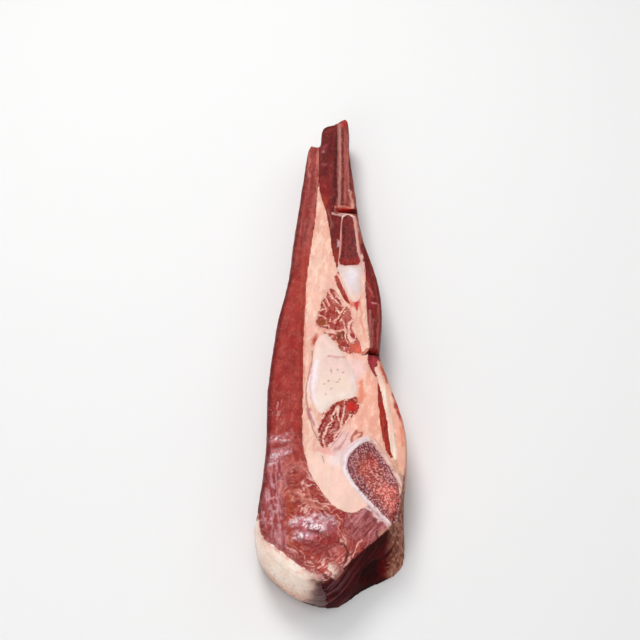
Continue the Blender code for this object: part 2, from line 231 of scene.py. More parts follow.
class Paint:
    """The colour of each point of a piece, how pale and fatty it is, how wet, and if it lies in the torn end.

    near_red and near_pale are the distances to the nearest meat and to the nearest fat, gristle or bone.
    """

    def __init__(self, face, base, near_red, near_pale):
        self.face = face
        self.tone = np.tile(colour(*base), (len(face.x), 1))
        self.pale = np.zeros(len(face.x))
        self.wet = np.zeros(len(face.x))
        self.deep = np.zeros(len(face.x))
        self.near_red = near_red
        self.near_pale = near_pale

    def dab(self, mask, tone, strength=1.0):
        share = (mask * strength)[:, None]
        self.tone = self.tone * (1 - share) + colour(*tone) * share

    def streak(self, mask, pattern, full, light, dark):
        """Lightens where a pattern is high and darkens where it is low.

        light and dark are where it starts, the tone and the strength. full is where it is reached.
        """
        for value, (start, tone, strength) in ((pattern, light), (-pattern, dark)):
            self.dab(mask * step(start, full, value), tone, strength)

    def spot(self, place, size, turn, tone, strength=1.0, soft=0.6):
        self.dab(self.face.oval(*place, *size, turn, soft), tone, strength)

    def spots(self, *rows):
        """Rows of what spot takes: place, half size, turn, tone, strength and softness."""
        for row in rows:
            self.spot(*row)

    def line(self, points, width, tone, strength=1.0, soft=0.6, wobble=1.0):
        self.dab(self.face.stroke(points, width, soft, wobble), tone, strength)

    def lines(self, *rows):
        """Rows of what line takes: points, half width, tone, strength, softness and wobble."""
        for row in rows:
            self.line(*row)

    def shade(self, mask, factor):
        """Makes it darker or lighter by a factor where the mask is 1."""
        self.tone = self.tone * (1 + mask * (factor - 1))[:, None]

    def fatten(self, mask, strength=1.0):
        self.pale = np.maximum(self.pale, mask * strength)

    def vein(self, points, width, strength=1.0):
        self.fatten(self.face.stroke(points, width, 0.8), strength)

    def moisten(self, mask, strength=1.0):
        self.wet = np.maximum(self.wet, mask * strength)

    def put_on(self, obj):
        attributes = obj.data.attributes
        tone = attributes.new("tone", "FLOAT_COLOR", "POINT")
        rgba = np.concatenate([np.clip(self.tone, 0, 1), np.ones((len(self.tone), 1))], axis=1)
        tone.data.foreach_set("color", rgba.astype(np.float32).ravel())
        for name, values in (("pale", self.pale), ("wet", self.wet)):
            attribute = attributes.new(name, "FLOAT", "POINT")
            attribute.data.foreach_set("value", np.clip(values, 0, 1).astype(np.float32))


# ---------------------------------------------------------------------------------------------------------
# Shapes
# ---------------------------------------------------------------------------------------------------------

def loose_cad(node):
    """The points and triangles of a CAD node, for measuring from."""
    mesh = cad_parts[node].data
    return [v.co.copy() for v in mesh.vertices], [tuple(p.vertices) for p in mesh.polygons]


def tree_of(nodes):
    """A search tree over several CAD nodes together."""
    points, triangles = [], []
    for node in nodes:
        more_points, more_triangles = loose_cad(node)
        triangles += [tuple(i + len(points) for i in triangle) for triangle in more_triangles]
        points += more_points
    return BVHTree.FromPolygons(points, triangles)


def distance_to(nodes, co):
    """Millimetres from each point to the nearest of these CAD nodes, but no more than NEIGHBOUR_REACH."""
    found = np.full(len(co), NEIGHBOUR_REACH, float)
    if nodes:
        tree = tree_of(nodes)
        for index, point in enumerate(co):
            place, _, _, distance = tree.find_nearest(Vector(point), NEIGHBOUR_REACH * MM)
            if place is not None:
                found[index] = distance / MM
    return found


def facing_neighbour(face, tree, reach_mm):
    """For each point, how squarely its wall looks at a neighbour's wall close by, and the way there."""
    squarely = np.zeros(len(face.co))
    way = np.zeros((len(face.co), 2))
    for index, (point, out) in enumerate(zip(face.co, face.normal)):
        if abs(out[2]) > NEARLY_UPRIGHT:
            continue
        place, normal, _, distance = tree.find_nearest(Vector(point), reach_mm * MM)
        if place is None:
            continue
        towards = (place - Vector(point)).xy if distance > TOUCHING else -normal.xy
        if towards.length > 1e-9:
            towards.normalize()
            way[index] = towards
            squarely[index] = out[0] * towards.x + out[1] * towards.y
    return step(0.15, 0.5, squarely), way


def level_top():
    """A search tree over the upper cut face, with all its layers brought to the level of the fat."""
    points, triangles = [], []
    for node, height in LAYER_HEIGHT.items():
        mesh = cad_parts[node].data
        for polygon in mesh.polygons:
            if polygon.normal.z > FACING_UP and polygon.center.z > LOW_EDGE:
                triangles.append(tuple(range(len(points), len(points) + len(polygon.vertices))))
                points += [mesh.vertices[i].co - Vector((0, 0, height * MM)) for i in polygon.vertices]
    return BVHTree.FromPolygons(points, triangles)


def on_drawing(place):
    return place.x / MM + DRAWING_CENTRE[0], place.y / MM + DRAWING_CENTRE[1]


def outline_of(node):
    """The straight pieces, on the drawing, of the border of a CAD node's upper face."""
    bm = bmesh.new()
    bm.from_mesh(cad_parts[node].data)
    bmesh.ops.remove_doubles(bm, verts=bm.verts, dist=SAME_PLACE)
    border = []
    for edge in bm.edges:
        facing = [face.normal.z > FACING_UP for face in edge.link_faces]
        if len(facing) == 2 and facing[0] != facing[1] and min(v.co.z for v in edge.verts) > LOW_EDGE:
            border.append([on_drawing(v.co) for v in edge.verts])
    bm.free()
    return border


def edge_distance(face, node):
    """How far, across the drawing, each point lies from the border of its own upper face."""
    nearest = np.full(len(face.x), np.inf)
    for start, end in outline_of(node):
        nearest = np.minimum(nearest, beside(face.mm[:, 0], face.mm[:, 1], start, end)[0])
    return nearest


def smooth(bm):
    bmesh.ops.smooth_vert(bm, verts=bm.verts, factor=0.5, use_axis_x=True, use_axis_y=True, use_axis_z=True)


def soft_copy(node, name, voxel, thicker):
    """A finely meshed copy of a CAD node with softened edges, finest where it faces up.

    It is made a little thicker first, so that slivers thinner than the new mesh aren't lost.
    """
    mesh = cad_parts[node].data.copy()
    mesh.materials.clear()
    bm = bmesh.new()
    bm.from_mesh(mesh)
    bmesh.ops.remove_doubles(bm, verts=bm.verts, dist=SAME_PLACE)
    bm.normal_update()
    for vert in bm.verts:
        vert.co.xy += vert.normal.xy * thicker * MM
    bm.to_mesh(mesh)
    bm.free()
    for attribute in [a.name for a in mesh.attributes if not a.is_internal and not a.is_required]:
        mesh.attributes.remove(mesh.attributes[attribute])
    obj = bpy.data.objects.new(name, mesh)
    bpy.context.scene.collection.objects.link(obj)
    remesh = obj.modifiers.new("fine", "REMESH")
    remesh.mode = "VOXEL"
    remesh.voxel_size = voxel * MM
    fine = bpy.data.meshes.new_from_object(obj.evaluated_get(bpy.context.evaluated_depsgraph_get()))
    obj.modifiers.clear()
    obj.data = fine
    bm = bmesh.new()
    bm.from_mesh(fine)
    smooth(bm)
    seen = {edge for face in bm.faces if face.normal.z > SHOULDER for edge in face.edges}
    bmesh.ops.subdivide_edges(bm, edges=list(seen), cuts=1, use_grid_fill=True)
    smooth(bm)
    bm.to_mesh(fine)
    bm.free()
    fine.shade_smooth()
    return obj


def cut_relief(mm):
    """The unevenness that all layers share: how far a place of the cut face lies off its mean level."""
    return 0.30 * cloud(mm, 16, 31) + 0.12 * cloud(mm, 4.5, 32)


def soften(obj, mask, passes):
    """Rounds a piece's edges where the mask is 1, by drawing each point towards its neighbours."""
    co = read_places(obj.data)
    ends = np.zeros(len(obj.data.edges) * 2, int)
    obj.data.edges.foreach_get("vertices", ends)
    first, second = ends[0::2], ends[1::2]
    count = np.bincount(ends, minlength=len(co))[:, None]
    for _ in range(passes):
        total = np.zeros_like(co)
        np.add.at(total, first, co[second])
        np.add.at(total, second, co[first])
        co += (total / count - co) * 0.5 * mask[:, None]
    write_places(obj.data, co)


def keep_corners(obj, node):
    """Brings the walls of the narrow far end back out to the sharp outline of the CAD."""
    face = Face(obj)
    tree = tree_of([node])
    mask = step(*NARROW_END, face.mm[:, 1]) * step(0.9, 0.6, np.abs(face.normal[:, 2]))
    for index in np.nonzero(mask > 0)[0]:
        place, normal, _, _ = tree.find_nearest(Vector(face.co[index]))
        if abs(normal.z) < 0.5:
            face.co[index, :2] += (np.array(place.xy) - face.co[index, :2]) * mask[index]
    write_places(obj.data, face.co)


def slits(face, width, soft):
    """1 at the two slits, whatever the height."""
    return np.maximum(face.stroke(FIRST_SLIT, width, soft), face.stroke(SECOND_SLIT, width + 0.2, soft))


def form(obj, node, tree, near, near_low, ragged, inset, own_relief):
    """Joins a piece to its neighbours, and gives its surface its unevenness.

    Its walls reach into the neighbours, except in the slits. At a seam all layers meet on one level. The edge
    of a layer that lies over a lower one dips under that one's surface, so that the seam is a ragged line
    without a groove. Underneath, the layers lie over each other in the same order.
    near and near_low are the distances to any neighbour and to those with a lower level.
    """
    face = Face(obj)
    squarely, way = facing_neighbour(face, tree, FACING_REACH)
    squarely *= 1 - slits(face, 3.2, 0.4) * step(SLIT_FLOOR, SLIT_FLOOR + 3, face.mm[:, 2])
    face.co[:, :2] += way * (SEAM_REACH * MM * squarely)[:, None]
    moved = Face(obj, face.co)
    lean = face.normal[:, 2]
    by_seam, off_seam = 1 - step(2.5, 4.0, near), step(0.5, 3.5, near)
    # To the level on which all layers meet, near the seams
    top = np.maximum(step(0.7, 0.85, lean), step(0.2, 0.4, lean) * squarely) * by_seam
    top *= face.mm[:, 2] > LOW_EDGE / MM
    target = face.co[:, 2].copy()
    for index in np.nonzero(top > 0)[0]:
        target[index] = LEVEL_TOP.find_nearest(Vector(face.co[index]))[0].z
    target += LAYER_HEIGHT.get(node, 0) * off_seam * MM
    face.co[:, 2] += (target - face.co[:, 2]) * top
    # The edge over a lower layer dips, and the whole surface is uneven
    inside = near_low - SEAM_REACH * squarely
    noise = cloud(moved.mm, 5, 41, 2) + 0.4 * cloud(moved.mm, 2.4, 42, 2)
    dip = SEAM_SLOPE * np.clip(inset + ragged * noise - inside, 0, 2.5)
    lift = cut_relief(moved.mm)
    if own_relief:
        lift = lift + own_relief(face) * (1 - top * (1 - off_seam))
    free = step(0.3, 4, face.mm[:, 2])
    lift_way = face.normal * (1 - top)[:, None] + np.array([0, 0, 1]) * top[:, None]
    face.co += lift_way * (lift * free * MM)[:, None]
    face.co[:, 2] += (LEVEL[node] * face.up - dip * top) * MM
    # Underneath it rests on the floor
    bottom = np.maximum(step(0.5, 0.8, -lean), step(0.1, 0.3, -lean) * squarely) * (face.mm[:, 2] < 4)
    rest = (HIGHEST_LEVEL - LEVEL[node] + dip * by_seam) * MM
    face.co[:, 2] += (rest - face.co[:, 2]) * bottom
    face.co[:, 2] = np.maximum(face.co[:, 2], 0)
    write_places(obj.data, face.co)


# ---------------------------------------------------------------------------------------------------------
# Materials
# ---------------------------------------------------------------------------------------------------------

class Recipe:
    """A small helper that builds a shader's nodes from left to right."""

    def __init__(self, name):
        self.material = bpy.data.materials.new(name)
        self.material.use_nodes = True
        self.nodes = self.material.node_tree.nodes
        self.links = self.material.node_tree.links
        self.shader = self.nodes["Principled BSDF"]
        self.place = self.node("ShaderNodeTexCoord").outputs["Object"]

    def put(self, inputs, values):
        """Sets a node's inputs, to a value or to what another node gives."""
        for key, value in values.items():
            if isinstance(value, bpy.types.NodeSocket):
                self.links.new(value, inputs[key])
            else:
                inputs[key].default_value = value

    def node(self, kind, values=None, **settings):
        made = self.nodes.new(kind)
        for key, value in settings.items():
            setattr(made, key, value)
        self.put(made.inputs, values or {})
        return made

    def attribute(self, name, output="Fac"):
        return self.node("ShaderNodeAttribute", attribute_name=name).outputs[output]

    def noise(self, size_mm, detail=3.0, roughness=0.55, place=None):
        made = self.node("ShaderNodeTexNoise", {
            "Vector": place or self.place,
            "Scale": 1 / (size_mm * MM),
            "Detail": detail,
            "Roughness": roughness,
        })
        return made.outputs["Fac"]

    def warped(self, size_mm, amount_mm, place=None):
        """The place moved about by a noise."""
        place = place or self.place
        made = self.node("ShaderNodeTexNoise", {"Vector": place, "Scale": 1 / (size_mm * MM), "Detail": 2.0})
        centred = self.node("ShaderNodeVectorMath", {0: made.outputs["Color"], 1: (0.5, 0.5, 0.5)},
                            operation="SUBTRACT").outputs[0]
        scaled = self.node("ShaderNodeVectorMath", {0: centred, "Scale": amount_mm * MM}, operation="SCALE")
        return self.node("ShaderNodeVectorMath", {0: place, 1: scaled.outputs[0]}, operation="ADD").outputs[0]

    def stretched(self, x=1.0, y=1.0, z=1.0):
        """The place scaled along its axes, so that a pattern on it is drawn out."""
        return self.node("ShaderNodeMapping", {"Vector": self.place, "Scale": (x, y, z)}).outputs[0]

    def cells(self, size_mm, place, feature="F1"):
        scale = 1 / (size_mm * MM)
        return self.node("ShaderNodeTexVoronoi", {"Vector": place, "Scale": scale}, feature=feature)

    def ramp(self, value, low, high, out_low=0.0, out_high=1.0):
        return self.node("ShaderNodeMapRange", {
            "Value": value, "From Min": low, "From Max": high, "To Min": out_low, "To Max": out_high,
        }, interpolation_type="SMOOTHSTEP").outputs[0]

    def math(self, operation, a, b=0.0):
        return self.node("ShaderNodeMath", {0: a, 1: b}, operation=operation).outputs[0]

    def mix(self, share, a, b):
        """One colour where the share is 0 and the other where it is 1."""
        a, b = (tone if isinstance(tone, bpy.types.NodeSocket) else (*tone, 1) for tone in (a, b))
        return self.node("ShaderNodeMix", {0: share, 6: a, 7: b}, data_type="RGBA").outputs[2]

    def scale_colour(self, tone, value):
        """A colour times a number."""
        return self.node("ShaderNodeVectorMath", {0: tone, "Scale": value}, operation="SCALE").outputs[0]

    def bump(self, height, depth_mm, strength=1.0, below=None):
        inputs = {"Height": height, "Distance": depth_mm * MM, "Strength": strength}
        if below is not None:
            inputs["Normal"] = below
        return self.node("ShaderNodeBump", inputs).outputs[0]

    def finish(self, tone, roughness, normal, soft, specular, soft_scale=0.003, soft_radius=(1.0, 0.35, 0.2),
               coat=0.0, coat_roughness=0.2):
        """The finished surface. soft is how much light it lets in, and coat how much wet film lies on it."""
        self.put(self.shader.inputs, {
            "Base Color": tone, "Roughness": roughness, "Normal": normal, "Specular IOR Level": specular,
            "Subsurface Weight": soft, "Subsurface Radius": soft_radius, "Subsurface Scale": soft_scale,
            "Coat Weight": coat, "Coat Roughness": coat_roughness,
        })
        return self.material


def muscle_material(name, bundle_mm=1.6, net=0.3, stretch=(1, 1, 1), dry=0.72, gloss=0.3, fringe=0.12):
    """Raw muscle: bundles of fibres, thin pale membranes between them, and fat where it is painted."""
    make = Recipe(name)
    tone = make.attribute("tone", "Color")
    wet = make.attribute("wet")
    place = make.warped(6, 1.6, make.stretched(*stretch))
    mottle = make.ramp(make.noise(9, 4, 0.6, place), 0.3, 0.7, 0.9, 1.08)
    grain = make.ramp(make.noise(1.1, 3, 0.7, place), 0.25, 0.75, 0.8, 1.2)
    bundles = make.cells(bundle_mm, place)
    each = make.node("ShaderNodeSeparateColor", {0: bundles.outputs["Color"]}).outputs[0]
    each = make.ramp(each, 0, 1, 0.88, 1.12)
    lines = make.cells(bundle_mm, place, "DISTANCE_TO_EDGE").outputs["Distance"]
    patchy = make.ramp(make.noise(5, 2), 0.42, 0.65)
    membrane = make.math("MULTIPLY", make.ramp(lines, 0.0, 0.12, 1, 0), patchy)
    flesh = make.scale_colour(tone, make.math("MULTIPLY", make.math("MULTIPLY", mottle, grain), each))
    flesh = make.mix(make.math("MULTIPLY", membrane, net), flesh, colour(216, 140, 126))
    broken = make.ramp(make.noise(1.5, 3, 0.6, place), 0.25, 0.75, -0.28, 0.28)
    fatty = make.ramp(make.math("ADD", make.attribute("pale"), broken), 0.5 - fringe, 0.5 + fringe)
    fat = make.mix(make.ramp(make.noise(3, 3), 0.35, 0.65), colour(226, 158, 144), colour(240, 200, 184))
    surface = make.mix(fatty, flesh, fat)
    roughness = make.ramp(wet, 0, 1, dry, 0.17)
    roughness = make.math("ADD", roughness, make.ramp(make.noise(2.2, 3), 0.3, 0.7, -0.05, 0.09))
    normal = make.bump(make.noise(0.9, 3, 0.65, place), 0.22, 0.5)
    normal = make.bump(lines, 0.3, 0.35, normal)
    normal = make.bump(fatty, 0.25, 0.5, normal)
    wrinkled = make.noise(2.6, 2, 0.5, make.warped(5, 4, make.stretched(0.6)))
    ridges = make.math("ABSOLUTE", make.math("SUBTRACT", wrinkled, 0.5))
    normal = make.bump(make.math("MULTIPLY", ridges, wet), 1.6, 1.0, normal)
    return make.finish(surface, roughness, normal, soft=0.1, specular=gloss, soft_scale=0.002)


def fat_material(name, roughness=0.55, coat=0.06):
    """Waxy fat with faint clouding and a fine, slightly torn surface. Painted flecks are red."""
    make = Recipe(name)
    tone = make.attribute("tone", "Color")
    clouds = make.noise(7, 4, 0.6, make.warped(10, 4, make.stretched(1, 0.5)))
    clouding = make.ramp(clouds, 0.3, 0.7, 0.93, 1.04)
    grain = make.ramp(make.noise(1.1, 3, 0.65), 0.25, 0.75, 0.95, 1.05)
    surface = make.scale_colour(tone, make.math("MULTIPLY", clouding, grain))
    lobes = make.cells(3.4, make.warped(4, 2.0), "DISTANCE_TO_EDGE").outputs["Distance"]
    patchy = make.ramp(make.noise(8, 2), 0.5, 0.7)
    creases = make.math("MULTIPLY", make.ramp(make.ramp(lobes, 0.0, 0.08, 1, 0), 0, 1), patchy)
    surface = make.mix(make.math("MULTIPLY", creases, 0.16), surface, colour(214, 140, 122))
    broken = make.ramp(make.noise(1.4, 3, 0.6), 0.25, 0.75, -0.22, 0.22)
    flecked = make.ramp(make.math("ADD", make.attribute("pale"), broken), 0.42, 0.6)
    surface = make.mix(flecked, surface, colour(165, 58, 50))
    rough = make.ramp(make.attribute("wet"), 0, 1, roughness, 0.2)
    rough = make.math("ADD", rough, make.ramp(make.noise(2.5, 3), 0.3, 0.7, -0.06, 0.08))
    normal = make.bump(make.noise(1.3, 4, 0.6), 0.25, 0.45)
    normal = make.bump(lobes, 0.2, 0.2, normal)
    return make.finish(surface, rough, normal, soft=0.25, specular=0.35, soft_radius=(1.0, 0.5, 0.35),
                       coat=coat, coat_roughness=0.3)


def gristle_material(name):
    """Dense white gristle or bone, almost smooth, that lets light in."""
    make = Recipe(name)
    clouding = make.ramp(make.noise(5, 3, 0.5), 0.3, 0.7, 0.96, 1.03)
    surface = make.scale_colour(make.attribute("tone", "Color"), clouding)
    rough = make.ramp(make.noise(2, 3), 0.3, 0.7, 0.39, 0.57)
    normal = make.bump(make.noise(1.5, 3, 0.6), 0.18, 0.3)
    return make.finish(surface, rough, normal, soft=0.3, specular=0.35, soft_radius=(0.8, 0.6, 0.5),
                       coat=0.08, coat_roughness=0.25)


def spongy_material(name, cell_mm, tint, specks, dark):
    """Sawn spongy bone: pale grains of bone among dark, marrow-filled holes."""
    make = Recipe(name)
    tone = make.attribute("tone", "Color")
    grains = make.cells(cell_mm, make.warped(2.5, 0.8))
    chance = make.node("ShaderNodeSeparateColor", {0: grains.outputs["Color"]}).outputs[1]
    chance = make.math("ADD", chance, make.ramp(make.noise(3, 2), 0.3, 0.7, -0.12, 0.12))
    strength = make.ramp(make.attribute("pale"), 0, 1, 0.55, 1.0)
    bright = make.math("MULTIPLY", make.ramp(chance, 0.58, 0.8), strength)
    surface = make.scale_colour(tone, make.ramp(chance, 0.1, 0.55, dark, 1.15))
    speck = make.mix(0.5, make.scale_colour(tone, 1.6), tint)
    surface = make.mix(make.math("MULTIPLY", bright, specks), surface, speck)
    rough = make.ramp(make.noise(1.2, 2), 0.3, 0.7, 0.5, 0.7)
    normal = make.bump(chance, 0.25, 0.5)
    normal = make.bump(make.noise(0.7, 3, 0.6), 0.3, 0.5, normal)
    return make.finish(surface, rough, normal, soft=0.08, specular=0.3, soft_scale=0.001)


# ---------------------------------------------------------------------------------------------------------
# Tones of this meat, as they are seen
# ---------------------------------------------------------------------------------------------------------

MEAT = (159, 62, 58)
MEAT_DUSTY = (154, 74, 70)
# Painted shade along the left edge of the long muscle
MEAT_EDGE_SHADE = (104, 26, 22)
DEEP_RED = (142, 32, 30)
RUST = (170, 74, 46)
MAUVE = (158, 80, 84)
FLESH_PINK = (205, 126, 120)
FASCIA = (222, 178, 176)
PEACH = (234, 168, 142)
CREAM = (238, 188, 168)
PALE_CREAM = (244, 210, 192)
ROSE_FAT = (232, 172, 160)
ORANGE_FAT = (238, 168, 145)
IVORY = (236, 208, 196)
BLUE_WHITE = (240, 224, 230)
GREY_LINE = (150, 108, 96)
SLIT_RED = (122, 18, 14)

# Which layer lies over which at a seam, as heights in millimetres. None lies as high as HIGHEST_LEVEL.
HIGHEST_LEVEL = 0.3
LEVEL = {
    "breastbone_core": 0.0, "rib_marrow": 0.0, "seam_fat": 0.06, "upper_muscle": 0.09, "outer_muscle": 0.12,
    "inner_muscle": 0.12, "inner_thin_muscle": 0.15, "rib_side_muscle": 0.15, "upper_marbled_muscle": 0.14,
    "lower_marbled_muscle": 0.15, "striped_flap": 0.17, "inner_tendon": 0.20, "costal_cartilage": 0.19,
    "rib_cartilage": 0.18, "rib_cortex": 0.22, "breastbone_rim": 0.20, "fat_cap": 0.20, "fat_nub": 0.26,
}

# How high the cut face of each layer of the CAD lies against the fat, in millimetres
LAYER_HEIGHT = {
    "breastbone_core": -0.3, "breastbone_rim": 0.3, "costal_cartilage": 0.4, "rib_marrow": -0.5,
    "rib_cartilage": 0.4, "rib_cortex": 0.4, "rib_side_muscle": -0.3, "upper_marbled_muscle": -0.4,
    "lower_marbled_muscle": -0.4, "inner_tendon": 0.5, "inner_thin_muscle": -0.5, "inner_muscle": -0.8,
    "striped_flap": -0.3, "upper_muscle": 0.3, "fat_cap": 0.0, "outer_muscle": 0.2, "seam_fat": 0.0,
}

# The level on which all layers meet at a seam
LEVEL_TOP = level_top()


# ---------------------------------------------------------------------------------------------------------
# Pieces
# ---------------------------------------------------------------------------------------------------------

def slit_hollow(face):
    """1 on the walls inside the two slits."""
    height = step(SLIT_FLOOR - 2, SLIT_FLOOR + 1, face.mm[:, 2])
    return slits(face, 4.2, 0.3) * step(0.9, 0.6, np.abs(face.normal[:, 2])) * height


def finish_walls(coat, face, red):
    """The cut sides: level fibres, torn membrane, and neighbours that run raggedly into each other."""
    wall = face.wall * (1 - slit_hollow(face)) * (1 - coat.deep)
    bands, fine = face.layers(40, 3.0, 241), face.layers(50, 1.2, 242)
    patches = step(0.0, 0.5, face.layers(26, 12, 244, 2) + 0.4 * face.layers(9, 4, 250, 2))
    beyond = coat.near_red if not red else -coat.near_pale
    fatty = step(-0.8, 0.8, beyond + 6 * face.layers(9, 3.0, 243) + 2 * face.layers(3, 1.2, 248))
    if red:
        coat.dab(wall * patches, (158, 88, 86), 0.6)
        coat.streak(wall, bands, 0.7, (0.05, (150, 66, 62), 0.4), (0.05, (88, 22, 24), 0.45))
        coat.dab(wall * step(0.1, 0.8, fine), (178, 104, 98), 0.4)
        coat.dab(wall * patches * step(0.2, 0.7, face.layers(14, 2.2, 251)), FASCIA, 0.35)
        coat.dab(wall * fatty * step(NEIGHBOUR_REACH, 4, coat.near_pale), (228, 160, 142), 0.85)
    else:
        coat.streak(wall, bands, 0.7, (0.05, PALE_CREAM, 0.45), (0.05, (222, 148, 128), 0.45))
        coat.dab(wall * step(0.35, 0.6, fine) * step(0, 0.4, face.layers(16, 6, 245)), (182, 88, 76), 0.4)
        coat.dab(wall * (1 - fatty) * step(NEIGHBOUR_REACH, 4, coat.near_red), (140, 52, 48), 0.85)
    # The scraped brown side of the breastbone
    edge = face.y + 9 * face.layers(12, 7, 246)
    side = face.wall * step(42, 50, face.x) * step(-104, -130, edge)
    streak = face.runs(1.3, 30, 247, 2)
    coat.dab(side, (156, 98, 76), 0.9)
    coat.dab(side * step(-138, -158, face.y), (182, 122, 106), 0.8)
    coat.dab(side * step(0.1, 0.7, streak), (208, 160, 134), 0.6)
    coat.dab(side * step(0.05, 0.6, -streak), (94, 46, 34), 0.65)
    # Near the end face it is as dull as the torn meat
    coat.deep = np.maximum(coat.deep, face.wall * step(45, 49, face.x) * step(-122, -124, face.y))


def darken_slits(coat, face):
    """The slits are blood red inside, with a painted highlight in the middle of the first, and darkest deep
    down, where it is painted shade, and at their ends.
    """
    hollow = slit_hollow(face)
    height = face.mm[:, 2]
    coat.dab(hollow, SLIT_RED)
    # Painted highlight in the middle of the first slit
    coat.dab(hollow * face.oval(19, 104, 6, 8), (222, 52, 40), 0.8)
    coat.dab(hollow * step(60, 40, face.y), (168, 60, 40), 0.8)
    # Painted shade deep down in the slits
    coat.dab(hollow * step(37.5, 34, height + 1.5 * cloud(face.mm, 3, 249)), (40, 6, 4), 0.95)
    for points, width, tone in (
        ([(33, -27.4), (36.5, -26.8), (41.5, -27.4)], (1.2, 2.4), (82, 26, 14)),
        ([(12, 106), (17, 107.4), (25, 106.6)], (0.6, 1.0), (214, 122, 104)),
        ([(10, 101), (14, 99.6), (22, 99.8)], 0.8, (226, 180, 172)),
    ):
        coat.dab(face.stroke(points, width, 0.8) * face.up, tone, 0.75)
    coat.pale = coat.pale * (1 - hollow)


def dress(node, material, base, paint, relief=None, voxel=1.1, ragged=0.3, thicker=0.3, rounds=0,
          inset=0.3, finish_sides=True):
    """One finished piece in place of a CAD node.

    voxel is how fine its mesh is and thicker how much it is fattened before that, in millimetres. ragged is
    how uneven its seams are and inset how far in they lie. Its free edges are rounded by so many rounds.
    """
    piece = soft_copy(node, node + "_dressed", voxel, thicker)
    co = Face(piece).co
    others = [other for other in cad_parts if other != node]
    near_red = distance_to([other for other in others if other in RED_NODES], co)
    near_pale = distance_to([other for other in others if other not in RED_NODES], co)
    near = np.minimum(near_red, near_pale)
    near_low = distance_to([other for other in others if LEVEL[other] < LEVEL[node]], co)
    if rounds:
        soften(piece, step(1.0, 4.0, near) * step(1.0, 3.0, co[:, 2] / MM), rounds)
    keep_corners(piece, node)
    form(piece, node, tree_of(others), near, near_low, ragged, inset, relief)
    face = Face(piece)
    face.edge = edge_distance(face, node)
    coat = Paint(face, base, near_red, near_pale)
    paint(coat, face)
    if finish_sides:
        finish_walls(coat, face, node in RED_NODES)
    darken_slits(coat, face)
    coat.put_on(piece)
    piece.data.materials.append(material)
    if coat.deep.any():
        piece.data.materials.append(DEEP_MEAT)
        for polygon in piece.data.polygons:
            polygon.material_index = int(coat.deep[list(polygon.vertices)].mean() > 0.5)
    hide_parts(node)
    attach(piece, "root")


# The wet, wrinkled places with painted highlights: x, y, half length across, half width along, turn,
# whiteness
PAINTED_GLINTS = (
    (-28, -95.5, 6.0, 2.2, 16, 0.7), (-24, -98.5, 4.0, 1.4, 20, 0.4), (-28.5, -106, 6.0, 2.6, 12, 0.8),
    (-33, -112, 2.6, 5.0, -24, 0.5), (-14, -156.5, 5.0, 3.6, 30, 0.65), (-4, -158.5, 8.0, 4.2, -14, 1.0),
    (-10.5, -165.5, 7.0, 3.0, 10, 0.95), (7.5, -157.5, 3.2, 4.4, 14, 0.55), (-1, -152.5, 6.0, 1.8, -6, 0.55),
)


def outer_muscle_relief(face):
    """Wrinkled wet places, a swelling, the lump above the knob of fat, and the hollow of the end face."""
    wet = np.maximum(face.oval(-27, -101, 9, 11), face.oval(-5, -160, 14, 9))
    folds = 1 - 2 * np.abs(face.grain(4.5, 9, 15, 61, 2))
    lift = 0.35 * folds * wet * face.up
    lift += face.up * step(-90, -125, face.y) * 0.3 * face.rings(-6, -162, 2.2, 8, 62)
    lift += face.up * (1.6 * face.oval(-6, -156, 24, 24, 0, 0.95) - 1.0 * step(-166, -188, face.y))
    lump = face.oval(11, -175, 7, 4.5, -20, 0.95)
    moat = face.stroke([(15.5, -170), (18, -175), (16.5, -182), (12, -189), (4, -191)], (0.6, 1.2), 0.9)
    lift += face.up * (1.0 * lump - 1.3 * moat)
    height = face.mm[:, 2]
    hollow = 1 - step(0.5, 1.2, np.hypot((face.x - 35) / 8.5, (height - 15) / 9.5))
    mass = 1 - step(0.2, 1.3, np.hypot((face.x - 46) / 5.5, (height - 13) / 9))
    lift += face.front * (1.4 * mass - 4.0 * hollow)
    lift += face.front * 0.4 * end_strands(face, 63) * (1 - hollow) * (1 - mass)
    return lift


def end_strands(face, seed):
    """Torn strands that sweep up to the right over the near end face."""
    height = face.mm[:, 2]
    across, along = height * 0.8 - face.mm[:, 0] * 0.6, face.mm[:, 0] * 0.8 + height * 0.6
    return cloud(np.stack([across / 2.6, along / 15, face.mm[:, 1] / 60], axis=1), 1.0, seed)


def end_face_of(face):
    """1 where the nearest side of the CAD is the near end face, so also inside its hollow."""
    tree = tree_of(["outer_muscle"])
    end = face.front.copy()
    for index in np.nonzero((face.mm[:, 1] < -150) & (face.mm[:, 2] < 40))[0]:
        _, normal, _, _ = tree.find_nearest(Vector(face.co[index]))
        if normal.y < -0.3 and abs(normal.z) < 0.5:
            end[index] = max(end[index], 1 - step(38.5, 40, face.mm[index, 2]))
    return end


